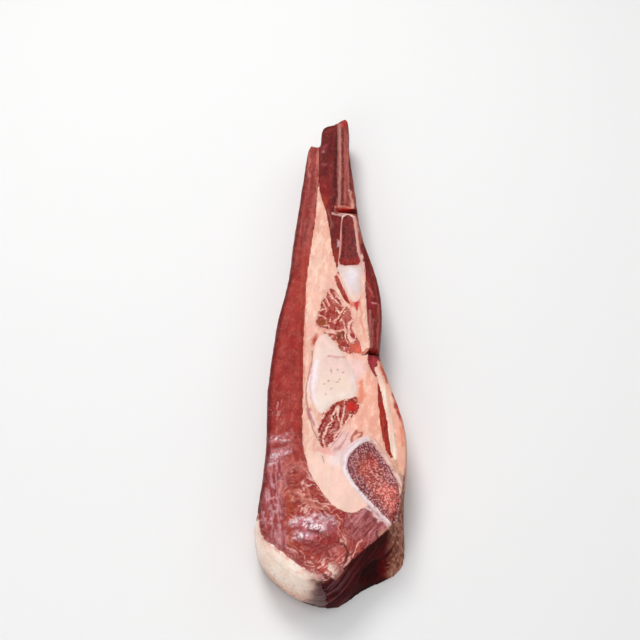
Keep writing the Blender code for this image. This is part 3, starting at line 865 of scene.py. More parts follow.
def paint_outer_muscle(coat, face):
    """The long muscle: dusty streaks at the narrow end, soft in the middle, mottled by the end face."""
    x, y = face.x, face.y
    far, near = step(35, 95, y), step(-88, -122, y)
    coat.dab(far, MEAT_DUSTY, 0.9)
    coat.dab(step(5, 22, y) * (1 - far) * step(-22, -13, x), (174, 74, 62), 0.7)
    coat.dab(step(-85, -112, y), (166, 72, 66), 0.8)
    # Streaks along the narrow end. The first of the lines below is painted shade along its left edge, and the
    # third a painted highlight along its right edge.
    coat.streak(far, face.grain(26, 1.5, -4, 71), 0.5, (0.15, FLESH_PINK, 0.28), (0.1, (120, 44, 42), 0.4))
    coat.lines(
        ([(-9, 104), (-10, 84), (-15, 62), (-18, 40)], (1.2, 2.4), (122, 36, 34), 0.6, 0.9),
        ([(-9, 166), (-9.5, 140)], (1.3, 0.8), (202, 128, 116), 0.5),
        ([(-1.5, 166), (-1, 140), (-3, 108)], (1.2, 0.6), (205, 130, 116), 0.6),
        ([(-6, 106), (-5.5, 92), (-8, 80), (-8, 60)], 1.4, (182, 98, 90), 0.5, 0.9),
    )
    # A soft mottle along the middle
    middle = (1 - far) * (1 - near)
    coat.streak(middle, face.grain(9, 4, -6, 72), 0.6, (0.1, (176, 76, 70), 0.4), (0.1, (146, 48, 46), 0.4))
    coat.line([(-14, 20), (-15, -10), (-14, -50), (-14, -85)], 2.6, (182, 76, 60), 0.35, 0.9)
    coat.spot((-33, -24), (2.6, 6), 0, (172, 36, 38), 0.8)
    flecks = step(0.42, 0.62, face.grain(3.5, 1.3, -8, 73, 2))
    coat.dab(flecks * face.oval(-31, -72, 4, 9), FASCIA, 0.4)
    coat.dab(flecks * step(-60, -95, y) * step(-14, -22, x), FASCIA, 0.25)
    # Painted shade along the left edge of the middle part, away from the fat
    rim = step(4.6, 1.2, face.edge) * step(0.9, 2.5, coat.near_pale) * step(-24, -29, x)
    coat.dab(rim * step(20, 4, y) * (1 - near), (134, 26, 20), 0.75)
    paint_near_meat(coat, face, near)
    # Painted shade on the side walls
    coat.dab(face.wall, (120, 38, 38), 0.85)
    coat.dab(face.wall * near, (128, 52, 52), 0.8)
    # Painted shade along the left edge of the cut face
    coat.dab(step(3.2, 0.3, face.edge) * step(0.9, 2.5, coat.near_pale) * step(-8, -14, x), MEAT_EDGE_SHADE, 0.85)
    coat.pale = coat.pale * (1 - face.wall)
    paint_end_face(coat, face, end_face_of(face) * near * step(-3, 1, x))


def paint_near_meat(coat, face, near):
    """The mottled, torn near part, whose fibres run round a wet swelling."""
    x, y = face.x, face.y
    left = step(-18, -28, x + 3 * face.grain(12, 4, 0, 84))
    right = near * (1 - left)
    swirl, fine = face.rings(-6, -163, 1.9, 8, 74), face.rings(-6, -163, 1.0, 4.5, 75, 2)
    coat.dab(near, (168, 76, 70), 0.8)
    coat.streak(right, cloud(face.mm, 5, 87), 0.6, (0.0, (192, 102, 92), 0.45), (0.0, (148, 52, 48), 0.45))
    coat.streak(right, swirl, 0.6, (0.1, (212, 134, 122), 0.42), (0.1, (138, 44, 42), 0.4))
    coat.dab(right * step(-112, -124, y) * step(0.24, 0.5, fine), (242, 188, 178), 0.78)
    coat.dab(right * step(0.34, 0.6, -fine), (114, 32, 34), 0.55)
    upright = face.grain(10, 1.5, 8, 76)
    coat.dab(near * left, MAUVE, 0.7)
    coat.streak(near * left, upright, 0.6, (0.0, (208, 152, 158), 0.55), (0.0, (130, 50, 52), 0.55))
    coat.dab(near * left * step(0.3, 0.5, face.grain(2.4, 1.6, 0, 92, 2)), (226, 178, 182), 0.4)
    coat.dab(step(-88, -100, y) * step(-128, -116, y) * step(0.0, 0.5, face.grain(11, 2.0, 16, 85)),
             (196, 112, 106), 0.5)
    for points in (
        [(-26, -128), (-25.5, -136)], [(-15, -133), (-12, -138), (-12, -143)], [(-9, -130), (-6, -138)],
        [(-15, -136), (-8, -144), (-1, -148)], [(-7, -141), (0, -147)], [(-20, -136), (-17, -142)],
    ):
        coat.line(points, (1.3, 0.9), (218, 146, 132), 0.55, 0.8)
    coat.line([(-20, -138), (-20, -152), (-18.5, -170)], 1.8, RUST, 0.7, 0.8)
    coat.line([(-16, -172), (-4, -177), (4, -178)], 2.0, (172, 66, 50), 0.6, 0.9)
    coat.spot((1, -172), (14, 5.4), -4, (144, 22, 21), 0.95, 0.7)
    coat.spot((6, -164), (4, 5), 0, DEEP_RED, 0.8)
    coat.line([(15, -149), (15.5, -162)], 1.5, (164, 40, 38), 0.8)
    coat.line([(8, -152), (11, -160)], 1.2, (138, 34, 34), 0.6)
    # The purplish corner between the fat and the end face
    corner = face.oval(31, -158, 15, 10, -32)
    coat.dab(corner, (166, 94, 98), 0.85)
    coat.dab(corner * step(0.1, 0.45, face.grain(6, 1.4, -40, 77)), (204, 144, 150), 0.65)
    coat.dab(corner * step(0.1, 0.45, -face.grain(6, 1.4, -40, 78)), (112, 40, 48), 0.65)
    coat.lines(
        ([(28, -144.5), (34, -149.5), (45, -158)], (1.0, 0.8), (236, 204, 204), 0.85),
        ([(38, -163), (42, -160.5), (46, -157)], 1.5, (202, 146, 128), 0.8),
        ([(36.5, -160), (37.5, -168)], 0.8, (96, 24, 20), 0.8),
    )
    # Painted highlights on the wet places, split by the wrinkles of the skin; these places are also made wet
    wrinkle = np.minimum(np.abs(face.grain(2.2, 5, 12, 79, 2)), np.abs(face.grain(2.6, 4, -50, 88, 2)) + 0.04)
    cores = step(-0.35, 0.15, cloud(face.mm, 3.2, 89, 2))
    coat.dab(face.oval(-4, -160, 17, 10), (168, 62, 64), 0.6)
    for gx, gy, across, along, turn, white in PAINTED_GLINTS:
        mask = face.oval(gx, gy, across, along, turn, 0.7)
        coat.dab(mask, (206, 136, 150), 0.75 * white)
        coat.dab(mask * cores * step(0.07, 0.2, wrinkle), (254, 240, 244), 0.95 * white)
        coat.dab(mask * step(0.12, 0.04, wrinkle), (128, 38, 44), 0.75)
        coat.moisten(mask)
    coat.line([(-14, -168.5), (-6, -169), (-1, -171)], 0.8, (122, 26, 28), 0.8)
    coat.line([(-8, -162.3), (0, -163.3), (6, -166)], 0.8, (120, 30, 32), 0.8)
    coat.moisten(face.oval(0, -170, 14, 9), 0.7)
    coat.spot((-28, -101), (6, 1.6), 12, (146, 40, 42), 0.85)
    # The red lump above the knob of fat, its dark edge on the left, and painted shade in the crease on its
    # right and under the knob
    coat.spot((11, -175), (5.4, 3.8), -20, (186, 92, 86), 0.75, 0.8)
    coat.dab(face.oval(11, -176, 6, 5) * step(0.1, 0.5, face.grain(4, 1.4, 30, 86)), (222, 150, 142), 0.6)
    coat.lines(
        ([(5, -179), (5, -174), (9, -171)], 0.6, (120, 28, 26), 0.6, 0.9),
        ([(10, -169), (15.5, -170.5), (18, -176), (16.5, -181)], (0.5, 1.0), (92, 18, 18), 0.8, 0.8),
        ([(3, -189), (6, -191.5), (11, -190.5), (17, -184)], (0.7, 1.2), (74, 12, 12), 0.85),
        # Along the fat cap
        ([(-34, -165), (-27, -175), (-17, -179.5), (-9, -186), (0, -193)], 2.6, (176, 98, 98), 0.6, 0.9),
        ([(0, -190), (3, -193.5), (8, -195)], 1.8, (204, 158, 156), 0.75),
    )


def paint_end_face(coat, face, end):
    """The torn near end with its hollow, dark in its own colour and with painted shade in the hollow, high on
    its right and at its foot.
    """
    x, height = face.x, face.mm[:, 2]
    coat.deep = np.maximum(coat.deep, end)
    coat.dab(end, (78, 26, 28))
    coat.dab(end * step(-0.3, 0.6, cloud(face.mm, 7, 67)), (90, 32, 36), 0.7)
    coat.dab(end * step(0.1, 0.7, end_strands(face, 63)), (104, 50, 54), 0.5)
    coat.dab(end * step(0.05, 0.7, -end_strands(face, 65)), (48, 12, 14), 0.5)
    coat.dab(end * step(28, 8, x) * step(0.1, 0.6, end_strands(face, 66)), (134, 90, 96), 0.6)
    # Painted shade high on the right under the top edge, and in the hollow
    coat.dab(end * (1 - step(0.4, 1.2, np.hypot((x - 36) / 9, (height - 36) / 6))), (72, 16, 18), 0.7)
    coat.dab(end * (1 - step(0.5, 1.1, np.hypot((x - 34) / 8, (height - 15) / 9))), (60, 18, 20), 0.85)
    mass = 1 - step(0.5, 1.3, np.hypot((x - 44) / 6, (height - 13) / 9))
    coat.dab(end * mass, (98, 26, 30), 0.9)
    coat.dab(end * mass * step(0.0, 0.6, cloud(face.mm, 3, 68)), (140, 58, 58), 0.6)
    coat.dab(end * mass * step(0.3, 0.7, -cloud(face.mm, 4, 69)), (60, 14, 18), 0.6)
    # Painted shade at the foot, by the floor
    coat.dab(end * step(5, 1, height), (44, 12, 12), 0.8)


def paint_upper_muscle(coat, face):
    """The dark block at the far end, browner and redder towards its tail, with a white bead of fat."""
    x, y = face.x, face.y
    coat.streak(1, face.grain(30, 1.6, -3, 91), 0.5, (0.1, (134, 56, 54), 0.5), (0.1, (84, 26, 28), 0.5))
    coat.lines(
        ([(9, 190), (9.5, 160)], 0.9, (84, 24, 28), 0.7, 0.9),
        ([(13.5, 186), (13, 150), (12.5, 110)], 1.5, (80, 20, 22), 0.7, 0.9),
        ([(3, 188), (8, 189), (15, 195)], 1.3, (140, 60, 58), 0.6, 0.9),
    )
    coat.spots(
        ((4.5, 171), (2, 3.5), 0, (150, 66, 80), 0.7),
        ((3, 165.5), (1.6, 1.4), 0, (176, 120, 124), 0.7),
        ((3.5, 151), (2, 2), 0, (142, 74, 74), 0.6),
    )
    coat.dab(step(143, 128, y) * step(9, 4, x), (136, 44, 36), 0.8)
    coat.dab(step(124, 112, y) * step(6.5, 3.5, x), (150, 66, 42), 0.7)
    coat.dab(step(104, 92, y), (118, 36, 36), 0.8)
    coat.dab(step(72, 58, y), (160, 60, 48), 0.8)
    coat.line([(6, 103), (8, 92), (9, 84)], 0.9, (160, 100, 92), 0.5)
    coat.spot((14, 70), (1.3, 3.6), 4, (226, 196, 200), 0.95)
    coat.dab(face.wall, (106, 36, 36), 0.7)
    # Painted shade along the seams with the neighbours
    coat.shade(step(1.6, 0, face.edge) * face.up, 0.8)


def paint_inner_muscle(coat, face):
    """The dark wedge, with red streaks along its right side and a purplish foot at the second slit."""
    y = face.y
    coat.streak(1, face.grain(20, 1.4, 6, 101), 0.5, (0.1, (156, 66, 62), 0.6), (0.1, (92, 22, 24), 0.6))
    tail = step(66, 76, y)
    coat.dab(tail, (166, 86, 82), 0.9)
    coat.dab(tail * step(0.1, 0.5, face.grain(12, 1.2, 0, 102)), (120, 44, 44), 0.5)
    coat.spots(
        ((33.3, 69.5), (1.2, 1.6), 0, (84, 18, 12), 0.95),
        ((32, 73), (1.3, 2.2), 0, (176, 78, 46), 0.8),
        ((33.5, 56), (1.6, 3), 8, (108, 34, 58), 0.8),
    )
    for start in ((33, 40), (34, 36), (36, 33), (38, 29)):
        coat.line([start, (start[0] + 3.5, start[1] - 9)], 0.5, (178, 96, 90), 0.6)
    coat.lines(
        ([(39, 15.6), (42, 14.8)], 0.6, (206, 140, 138), 0.75, 0.8, 0.3),
        ([(33.5, 26), (35, 20), (36, 13)], 1.3, (150, 34, 62), 0.75),
        ([(33, 31), (33.5, 24)], 1.1, FASCIA, 0.75),
    )
    for points, width, tone, strength in (
        ([(37, 9), (36.6, -6), (36, -22)], (0.8, 1.3), (200, 128, 118), 0.6),
        ([(39, 2), (38.6, -10), (38, -22)], 0.6, (188, 108, 100), 0.5),
        ([(34.8, 8), (35, -20)], 0.9, (160, 70, 68), 0.5),
        ([(40.8, 12), (40.6, -22)], 1.2, (118, 30, 30), 0.6),
        ([(43.8, 14), (43.2, -4), (41.8, -23)], 0.9, (182, 98, 88), 0.6),
    ):
        coat.line(points, width, tone, strength, 0.9, 0.25)
    coat.spot((40.5, 7), (1.8, 5), 0, (138, 34, 32), 0.6)
    coat.spot((37.5, -36), (2.4, 6.5), 4, (156, 44, 60), 0.85, 0.9)
    coat.dab(step(-30, -34, y), (168, 70, 76), 0.5)
    coat.dab(face.wall, (120, 40, 40), 0.6)
    # Painted shade along the seams with the neighbours
    coat.shade(step(1.6, 0, face.edge) * face.up, 0.8)


def paint_inner_thin_muscle(coat, face):
    """Bright and dark red fibres along a narrow strip."""
    coat.streak(1, face.grain(14, 1.0, 4, 111), 0.5, (0.1, (190, 88, 72), 0.5), (0.1, (128, 28, 26), 0.6))


def paint_rib_side_muscle(coat, face):
    """Slanting pale fibres on deep red."""
    coat.dab(step(0.1, 0.5, face.grain(10, 1.2, 18, 121)), (178, 84, 74), 0.6)
    coat.spot((14.5, 31), (2.2, 8), 14, (168, 80, 74), 0.6)


def paint_upper_marbled(coat, face):
    """Short bundles that spread like a feather, with pale streaks of fat between them."""
    spread = np.where(face.y > 9, 1, 0)
    feather = face.grain(8, 2.0, 38, 131) * spread + face.grain(6, 2.2, -20, 133) * (1 - spread)
    coat.streak(1, feather, 0.5, (0.05, (198, 112, 104), 0.55), (0.0, (150, 58, 54), 0.6))
    flecks = face.grain(5, 1.2, 40, 134, 2) * spread + face.grain(4, 1.2, -30, 135, 2) * (1 - spread)
    coat.fatten(step(0.32, 0.62, flecks), 0.5)
    coat.spots(
        ((20, 6), (3.6, 5), 10, (178, 96, 88), 0.8),
        ((2, -1.5), (3.8, 2.8), 0, (146, 78, 34), 0.85),
        ((9.5, -2), (2.6, 3.4), 0, (156, 36, 40), 0.7),
        ((15, -13), (3.4, 3.6), -40, (118, 66, 42), 0.85),
        ((13, -19), (3.2, 3.6), -40, (156, 64, 32), 0.9),
        ((23, -14), (3, 4), 0, (168, 56, 58), 0.7),
        ((26.5, -25), (4.2, 5), 20, (222, 106, 88), 0.9, 0.8),
    )
    veins = (
        [(4, 22), (7, 16), (8, 12)], [(8, 25), (11, 19), (15, 13)], [(12, 24), (16, 18), (19, 12)],
        [(1, 16), (4, 12), (5, 9)], [(-2, 9), (2, 8.5), (5, 9)], [(-3, 4), (1, 4), (4, 2)],
        [(13, 20), (17, 16)], [(19, 12), (16, 8), (13, 3)], [(13, 8), (14.5, 4), (11, 1), (8, -1)],
        [(16, 1), (18, -4), (18, -8)], [(24, 1), (21, -3), (20, -9)], [(18, -8), (13, -8), (9, -9)],
        [(20, -9), (22, -14), (23, -19)], [(18, -9), (19.5, -14), (20, -20)], [(24, -5), (22, -9)],
        [(3, -5), (6, -4), (7, -7)],
    )
    for points in veins:
        coat.vein(points, (0.9, 0.6), 0.8)
    coat.vein([(-4, -6), (2, -8), (8, -9.5), (11, -10.5)], 1.4)
    coat.vein([(10, -13), (15, -20), (19, -24)], 0.5, 0.5)
    coat.spot((23.5, -18), (1.7, 1.7), 0, (242, 210, 200), 0.9)
    coat.fatten(step(2.6, 0.4, face.edge) * step(-0.1, 0.4, cloud(face.mm, 3, 132)), 0.8)


def paint_lower_marbled(coat, face):
    """Slanting bundles with a net of fat that runs together towards the breastbone."""
    bundles = face.grain(9, 2.0, -22, 141)
    coat.streak(1, bundles, 0.5, (0.05, (196, 110, 102), 0.5), (0.05, (148, 52, 50), 0.6))
    coat.fatten(step(0.45, 0.7, face.grain(6, 1.6, -24, 145, 2)), 0.4)
    coat.spot((23.5, -72), (3.6, 3.6), 0, (204, 56, 50), 0.9)
    coat.line([(11, -68), (17, -66.5), (24, -67)], 1.1, (170, 70, 54), 0.7)
    veins = (
        [(7, -71), (3.5, -78), (0, -86)], [(12, -70), (9.5, -78), (5, -88)],
        [(12.3, -71), (13, -80), (14, -84)], [(18, -70), (15.5, -78), (14.5, -86), (10, -95)],
        [(21, -78), (17, -85), (12, -95), (8, -102)], [(5, -88), (3, -95), (4, -103)],
        [(24, -78), (18, -90), (11, -101)], [(10, -95), (8, -99), (6, -104)],
    )
    for points in veins:
        coat.vein(points, (0.9, 0.6), 0.82)
    coat.pale = coat.pale * (1 - 0.8 * face.oval(23.5, -72, 3.4, 3.4))
    low = step(-82, -92, face.y)
    coat.dab(low * step(0, 0.4, face.grain(4, 1.4, -35, 142)), (212, 144, 140), 0.65)
    coat.dab(low * step(0.1, 0.5, -face.grain(4, 1.4, -35, 143)), (118, 56, 58), 0.6)
    coat.fatten(step(2.2, 0.4, face.edge) * step(0.0, 0.4, cloud(face.mm, 3, 144)), 0.75)


def paint_striped_flap(coat, face):
    """Thin pale, brown and red stripes along the band, and its brown tip at the first slit."""
    coat.dab(step(0.1, 0.6, face.grain(30, 1.0, 0, 151)), (180, 112, 104), 0.45)
    coat.dab(step(0.1, 0.6, -face.grain(26, 1.0, 0, 152)), (112, 46, 44), 0.5)
    coat.lines(
        ([(16.6, 198), (16.6, 160), (15.4, 108)], 1.0, (186, 138, 128), 0.8, 0.8, 0.3),
        ([(18.8, 196), (18.8, 160), (18, 108)], 0.8, (104, 44, 40), 0.8, 0.8, 0.5),
        ([(21, 190), (20.8, 150), (20.4, 112)], 0.8, (178, 98, 92), 0.6, 0.9, 0.4),
        ([(23, 186), (23, 150), (23.4, 124)], 0.7, (168, 108, 104), 0.6, 0.9, 0.4),
        ([(24.6, 160), (24.6, 126)], 0.7, (98, 26, 26), 0.8, 0.8, 0.3),
    )
    coat.spot((21.5, 199), (3, 4), 0, (162, 50, 46), 0.85)
    coat.spot((19, 196.5), (1.4, 2), 0, (196, 88, 78), 0.7)
    coat.line([(24, 124), (25.5, 112), (26, 106)], (0.8, 1.3), (216, 164, 148), 0.7, 0.9)
    coat.spot((26, 101), (3, 2.5), 30, (160, 70, 44), 0.7)
    coat.dab(step(25.5, 27.5, face.x) * slit_hollow(face), (126, 52, 48), 0.9)


def paint_seam_fat(coat, face):
    """Cream fat in clots and streaks, with the red and grey lines of the membranes that run through it."""
    x, y = face.x, face.y
    inner = step(17, 29, x) * step(-28, -46, y)
    coat.dab(step(52, 82, y), PEACH, 0.6)
    coat.dab(step(-0.2, 0.7, cloud(face.mm, 12, 161)), ROSE_FAT, 0.5)
    coat.dab(step(0.05, 0.55, face.grain(34, 3.0, -4, 166)), (242, 202, 182), 0.6)
    coat.dab(step(0.05, 0.55, -face.grain(30, 2.4, -4, 167)), (232, 168, 152), 0.5)
    coat.dab(step(0.25, 0.6, face.grain(9, 2.0, -8, 168)), (246, 220, 202), 0.4)
    coat.dab(inner, ORANGE_FAT, 0.75)
    coat.dab(inner * step(0, 0.5, cloud(face.mm, 9, 162)), (246, 196, 172), 0.6)
    clots = step(-118, -100, y) * face.up
    coat.dab(clots * step(0.1, 0.6, face.grain(6, 2.6, -6, 177)), (252, 216, 196), 0.5)
    coat.dab(clots * step(0.1, 0.6, -face.grain(5, 2.2, -6, 178)), (226, 158, 142), 0.38)
    coat.dab(step(-100, -114, y) * step(36, 30, x), (250, 214, 200), 0.75)
    coat.spot((26, -40), (6, 10), 0, (240, 202, 198), 0.85)
    coat.lines(
        ([(24, -23), (28, -26), (31, -27.6)], (2.2, 1.2), (226, 110, 88), 0.85, 0.9),
        ([(24, -30), (29, -31), (33, -32)], 1.8, (240, 176, 160), 0.7, 0.9),
        ([(30, -27), (33, -24.6), (36, -23.6)], 0.8, (196, 84, 62), 0.8),
        ([(30.3, -29.4), (32.5, -29), (36, -27.6)], (0.4, 1.0), (82, 26, 14), 0.9, 0.7, 0.3),
    )
    coat.spot((8, 30), (3.5, 12), 8, ROSE_FAT, 0.7)
    coat.spot((-6, -6), (3.6, 8), 0, (240, 184, 172), 0.7)
    # Meat shows through where the fat runs out
    coat.dab(step(1.8, 0.1, coat.near_red) * step(-0.3, 0.4, cloud(face.mm, 4, 163)), (222, 132, 112), 0.6)
    coat.lines(
        ([(-11.3, 30), (-11.4, 0), (-12, -30), (-11.6, -60)], 0.7, (214, 120, 96), 0.5),
        ([(33, 40), (32, 52), (31, 62)], 1.8, (222, 176, 172), 0.8),
        ([(32, 62), (30.8, 74), (29.8, 86), (29.4, 97)], 2.2, (144, 60, 58), 0.9, 0.8, 0.5),
        ([(28.4, 92), (29.2, 80), (30, 68)], 0.5, (206, 138, 128), 0.6, 0.8, 0.5),
        # A thin grey line down the cartilage's left side: painted shadow beside it
        ([(-6, -26), (-5.6, -34), (-8, -46), (-9.6, -57), (-9.8, -66), (-8, -77), (-5, -88), (-1, -97)],
         0.5, GREY_LINE, 0.7, 0.6, 0.25),
        ([(-7, -47), (-8, -58), (-7.4, -68)], 0.9, (248, 222, 218), 0.7),
    )
    coat.spot((-4.6, -17.5), (2.0, 5.6), -14, (188, 70, 52), 0.95)
    coat.line([(-8.5, -74), (-6, -80), (-3, -85)], 1.6, (186, 100, 108), 0.7)
    coat.line([(-6.5, -76), (-3, -82), (-1.5, -88)], 0.6, (240, 214, 214), 0.8)
    streaks = face.oval(14, -97, 8, 9, -30)
    coat.dab(streaks, (236, 196, 196), 0.7)
    coat.dab(streaks * step(0.1, 0.4, face.grain(7, 1.1, -36, 164)), (180, 104, 110), 0.6)
    coat.spot((4, -105), (8, 2.2), -10, (232, 158, 152), 0.7)
    coat.spot((12, -110), (5, 5), 0, (248, 232, 232), 0.6)
    for points, width, tone in (
        ([(22.5, -97.5), (22.5, -93), (24.5, -89.5), (27.5, -90), (26.5, -94)], 0.9, (166, 62, 44)),
        ([(22.5, 16), (24.5, 13.5), (29, 13)], 2.0, (222, 118, 96)),
        ([(28.4, 17.5), (30.5, 20.5)], 0.5, (206, 70, 56)),
        ([(29.6, 16), (30.4, 4), (32.5, -8), (34, -18)], 0.7, (232, 150, 124)),
        ([(41, -30), (43.6, -38), (46.6, -46.5), (48, -52)], 0.8, (166, 44, 40)),
        ([(42, -34), (44.5, -45), (46, -54)], 0.6, (236, 150, 122)),
        ([(29, -52), (28, -60), (28, -68)], 1.5, (226, 128, 96)),
        ([(31, -62), (27, -66)], 1.0, (228, 140, 110)),
        ([(1.4, -109), (2.4, -113)], 0.35, GREY_LINE),
    ):
        coat.line(points, width, tone, 0.85, 0.7)
    coat.lines(
        ([(27.4, 15.6), (27, 12), (27.2, 9)], (1.9, 0.8), (198, 8, 6), 1.0, 0.7, 0.3),
        ([(44, -32), (46.5, -42), (50, -52), (53.8, -66), (56, -80)],
         (0.9, 0.5), (176, 44, 38), 0.8, 0.8, 0.5),
        ([(50, -52), (53.5, -64), (56, -80), (56.4, -100)], 0.9, (234, 120, 92), 0.6),
        ([(49.5, -92), (51, -110), (54.5, -128)], 1.2, (206, 160, 128), 0.7),
    )
    coat.dab(face.wall * step(30, 46, x), (226, 140, 112), 0.6)
    for place, size in (((53.2, -69), (1.6, 4.2)), ((55, -77), (1.2, 3.6)), ((51.4, -62), (1.0, 3))):
        coat.spot(place, size, 12, (176, 36, 32), 0.9)
    coat.fatten(step(0.62, 0.8, cloud(face.mm, 3, 165)) * step(2.6, 0.5, coat.near_red), 0.35)


def paint_fat_cap(coat, face):
    """Pale waxy fat with a painted highlight along its shoulder, painted shade that browns and darkens its
    side towards the floor, and darker where it meets the end face.
    """
    height = face.mm[:, 2]
    coat.dab(step(-0.2, 0.7, cloud(face.mm, 12, 171)), (250, 206, 186), 0.5)
    # Painted highlight along the rounded shoulder, which is also made wet
    coat.line([(-36, -166), (-28, -178), (-17, -187), (-6, -195)], 4.5, (255, 240, 226), 0.65, 0.95)
    coat.moisten(face.stroke([(-37, -170), (-29, -182), (-18, -192), (-6, -200)], 6, 0.9), 0.6)
    coat.dab(step(0.0, 0.6, cloud(face.mm, 7, 179)), (240, 204, 182), 0.35)
    coat.dab(step(0.05, 0.6, -cloud(face.mm, 5, 180)), (252, 236, 226), 0.5)
    coat.dab(step(-31, -38, face.x) * step(36, 41, height), (232, 184, 170), 0.6)
    side = 1 - step(0.5, 0.8, -face.normal[:, 2])
    # Painted shade, browner and darker down the side towards the floor
    coat.dab(side * step(34, 14, height), (226, 176, 148), 0.8)
    coat.dab(side * step(22, 5, height), (168, 108, 84), 0.85)
    coat.dab(side * step(6, 0, height), (84, 50, 38), 0.8)
    fringe = step(3.5, 0.2, coat.near_red) * face.up * step(-0.3, 0.3, cloud(face.mm, 2.6, 174))
    coat.dab(fringe, (196, 112, 104), 0.75)
    coat.dab(step(0.35, 0.6, face.grain(7, 1.8, 50, 173, 2)) * face.up, (240, 180, 162), 0.4)
    fade = face.x + 2 - 0.2 * (height - 36) + 2.5 * cloud(face.mm, 6, 175)
    low = side * (1 - step(0.6, 0.9, face.normal[:, 2]))
    coat.dab(step(-10, 0, fade), (186, 132, 118), 0.8)
    coat.dab(step(-6.5, 3, fade) * low, (84, 34, 38), 0.95)
    coat.dab(step(-4, 2, fade) * step(0.1, 0.6, face.runs(2.5, 12, 176)) * low, (136, 88, 90), 0.4)


def cap_relief(face):
    """A side that bulges at half height, and an edge that is worn down."""
    height = face.mm[:, 2]
    lean = step(0.95, 0.6, face.normal[:, 2]) * step(0.1, 0.5, face.normal[:, 2])
    bulge = face.wall * (1 - ((height - 22) / 20) ** 2)
    return 0.9 * cloud(face.mm, 15, 67) + 1.0 * bulge - 0.8 * lean - 0.3


def nub_relief(face):
    """Lumps, highest at the left."""
    return 0.9 * cloud(face.mm, 5, 64) + 0.25 * cloud(face.mm, 2, 65) + 0.2 + 0.8 * step(8, 4, face.x)


def paint_fat_nub(coat, face):
    """A pale bead of fat that reddens to the right."""
    coat.dab(step(-0.1, 0.6, cloud(face.mm, 5, 181)), (226, 186, 176), 0.5)
    coat.dab(step(-0.1, 0.5, -cloud(face.mm, 3, 182)), (190, 120, 110), 0.5)
    coat.spot((7, -187), (4.6, 3.0), 16, (250, 224, 210), 0.92)
    coat.spot((12, -181), (5, 4), 30, (190, 104, 98), 0.8, 0.9)
    coat.dab(step(0.8, 0.2, face.normal[:, 2]), (176, 104, 96), 0.5)


def paint_tendon(coat, face):
    """Fine pale strands, peach on the right, with a red streak along the upper part."""
    coat.dab(step(0, 0.6, face.grain(24, 1.0, 3, 191)), (252, 234, 218), 0.8)
    coat.dab(step(0.1, 0.6, -face.grain(20, 1.0, 3, 192)), (232, 182, 162), 0.5)
    coat.dab(step(-62, -44, face.y), (236, 184, 166), 0.6)
    coat.line([(46.4, -45), (48.6, -61), (50.6, -77), (52, -94)], 1.5, (240, 184, 160), 0.85, 0.6, 0.4)
    coat.dab(step(0.7, 0.1, face.edge), (236, 186, 166), 0.5)
    coat.line([(41, -30), (43.6, -38), (46.6, -46.5), (48, -52)], (0.9, 0.4), (166, 44, 40), 0.85, 0.7, 0.3)


def paint_costal_cartilage(coat, face):
    """Ivory, bluish along its left and right sides, with small dark pits in the middle."""
    coat.dab(step(-30, -14, face.y), (236, 200, 190), 0.8)
    coat.dab(step(-52, -68, face.y), (240, 222, 212), 0.8)
    coat.spot((13, -38), (10, 7), -10, (234, 198, 190), 0.7)
    coat.spot((13, -53), (10, 6), 0, (236, 212, 194), 0.6)
    coat.lines(
        ([(-2.5, -36), (-4.6, -48), (-5.2, -60), (-4, -68)], 1.7, BLUE_WHITE, 0.9, 0.8),
        ([(-5.4, -40), (-6.8, -50), (-7.2, -62), (-5.8, -70)], 0.8, (226, 184, 204), 0.8, 0.8),
        ([(21, -34), (24.2, -46), (24.8, -58)], 1.1, (244, 224, 228), 0.8, 0.8),
        ([(5.5, -32), (12, -31.8), (18, -31)], 0.9, (206, 150, 152), 0.85, 0.9),
    )
    for place, size in (((9, -43), (0.6, 1.9)), ((6.2, -50), (1.1, 0.9)), ((3, -53.4), (0.8, 0.8)),
                        ((12.6, -51), (1.2, 0.6)), ((15, -49), (1.0, 0.5)), ((13, -41), (0.6, 0.6)),
                        ((8, -57), (0.7, 0.5)), ((17, -44), (0.7, 0.7)), ((5, -60), (0.6, 0.6))):
        coat.spot(place, size, 0, (160, 124, 118), 0.8)
    coat.dab(step(1.6, 0.2, face.edge), (236, 190, 176), 0.45)


def paint_rib_cartilage(coat, face):
    """Bluish white, pink at the rib and creamy at its tip."""
    coat.dab(step(46.5, 49, face.y), (222, 164, 158), 0.6)
    coat.spot((23.5, 38), (4, 9), 6, (234, 224, 230), 0.8)
    coat.dab(step(26, 19, face.y), (236, 200, 182), 0.9)
    coat.line([(15.5, 46), (17.5, 34), (20, 26)], 1.1, (212, 196, 186), 0.7)
    coat.dab(step(1.4, 0.2, face.edge), (228, 188, 184), 0.5)


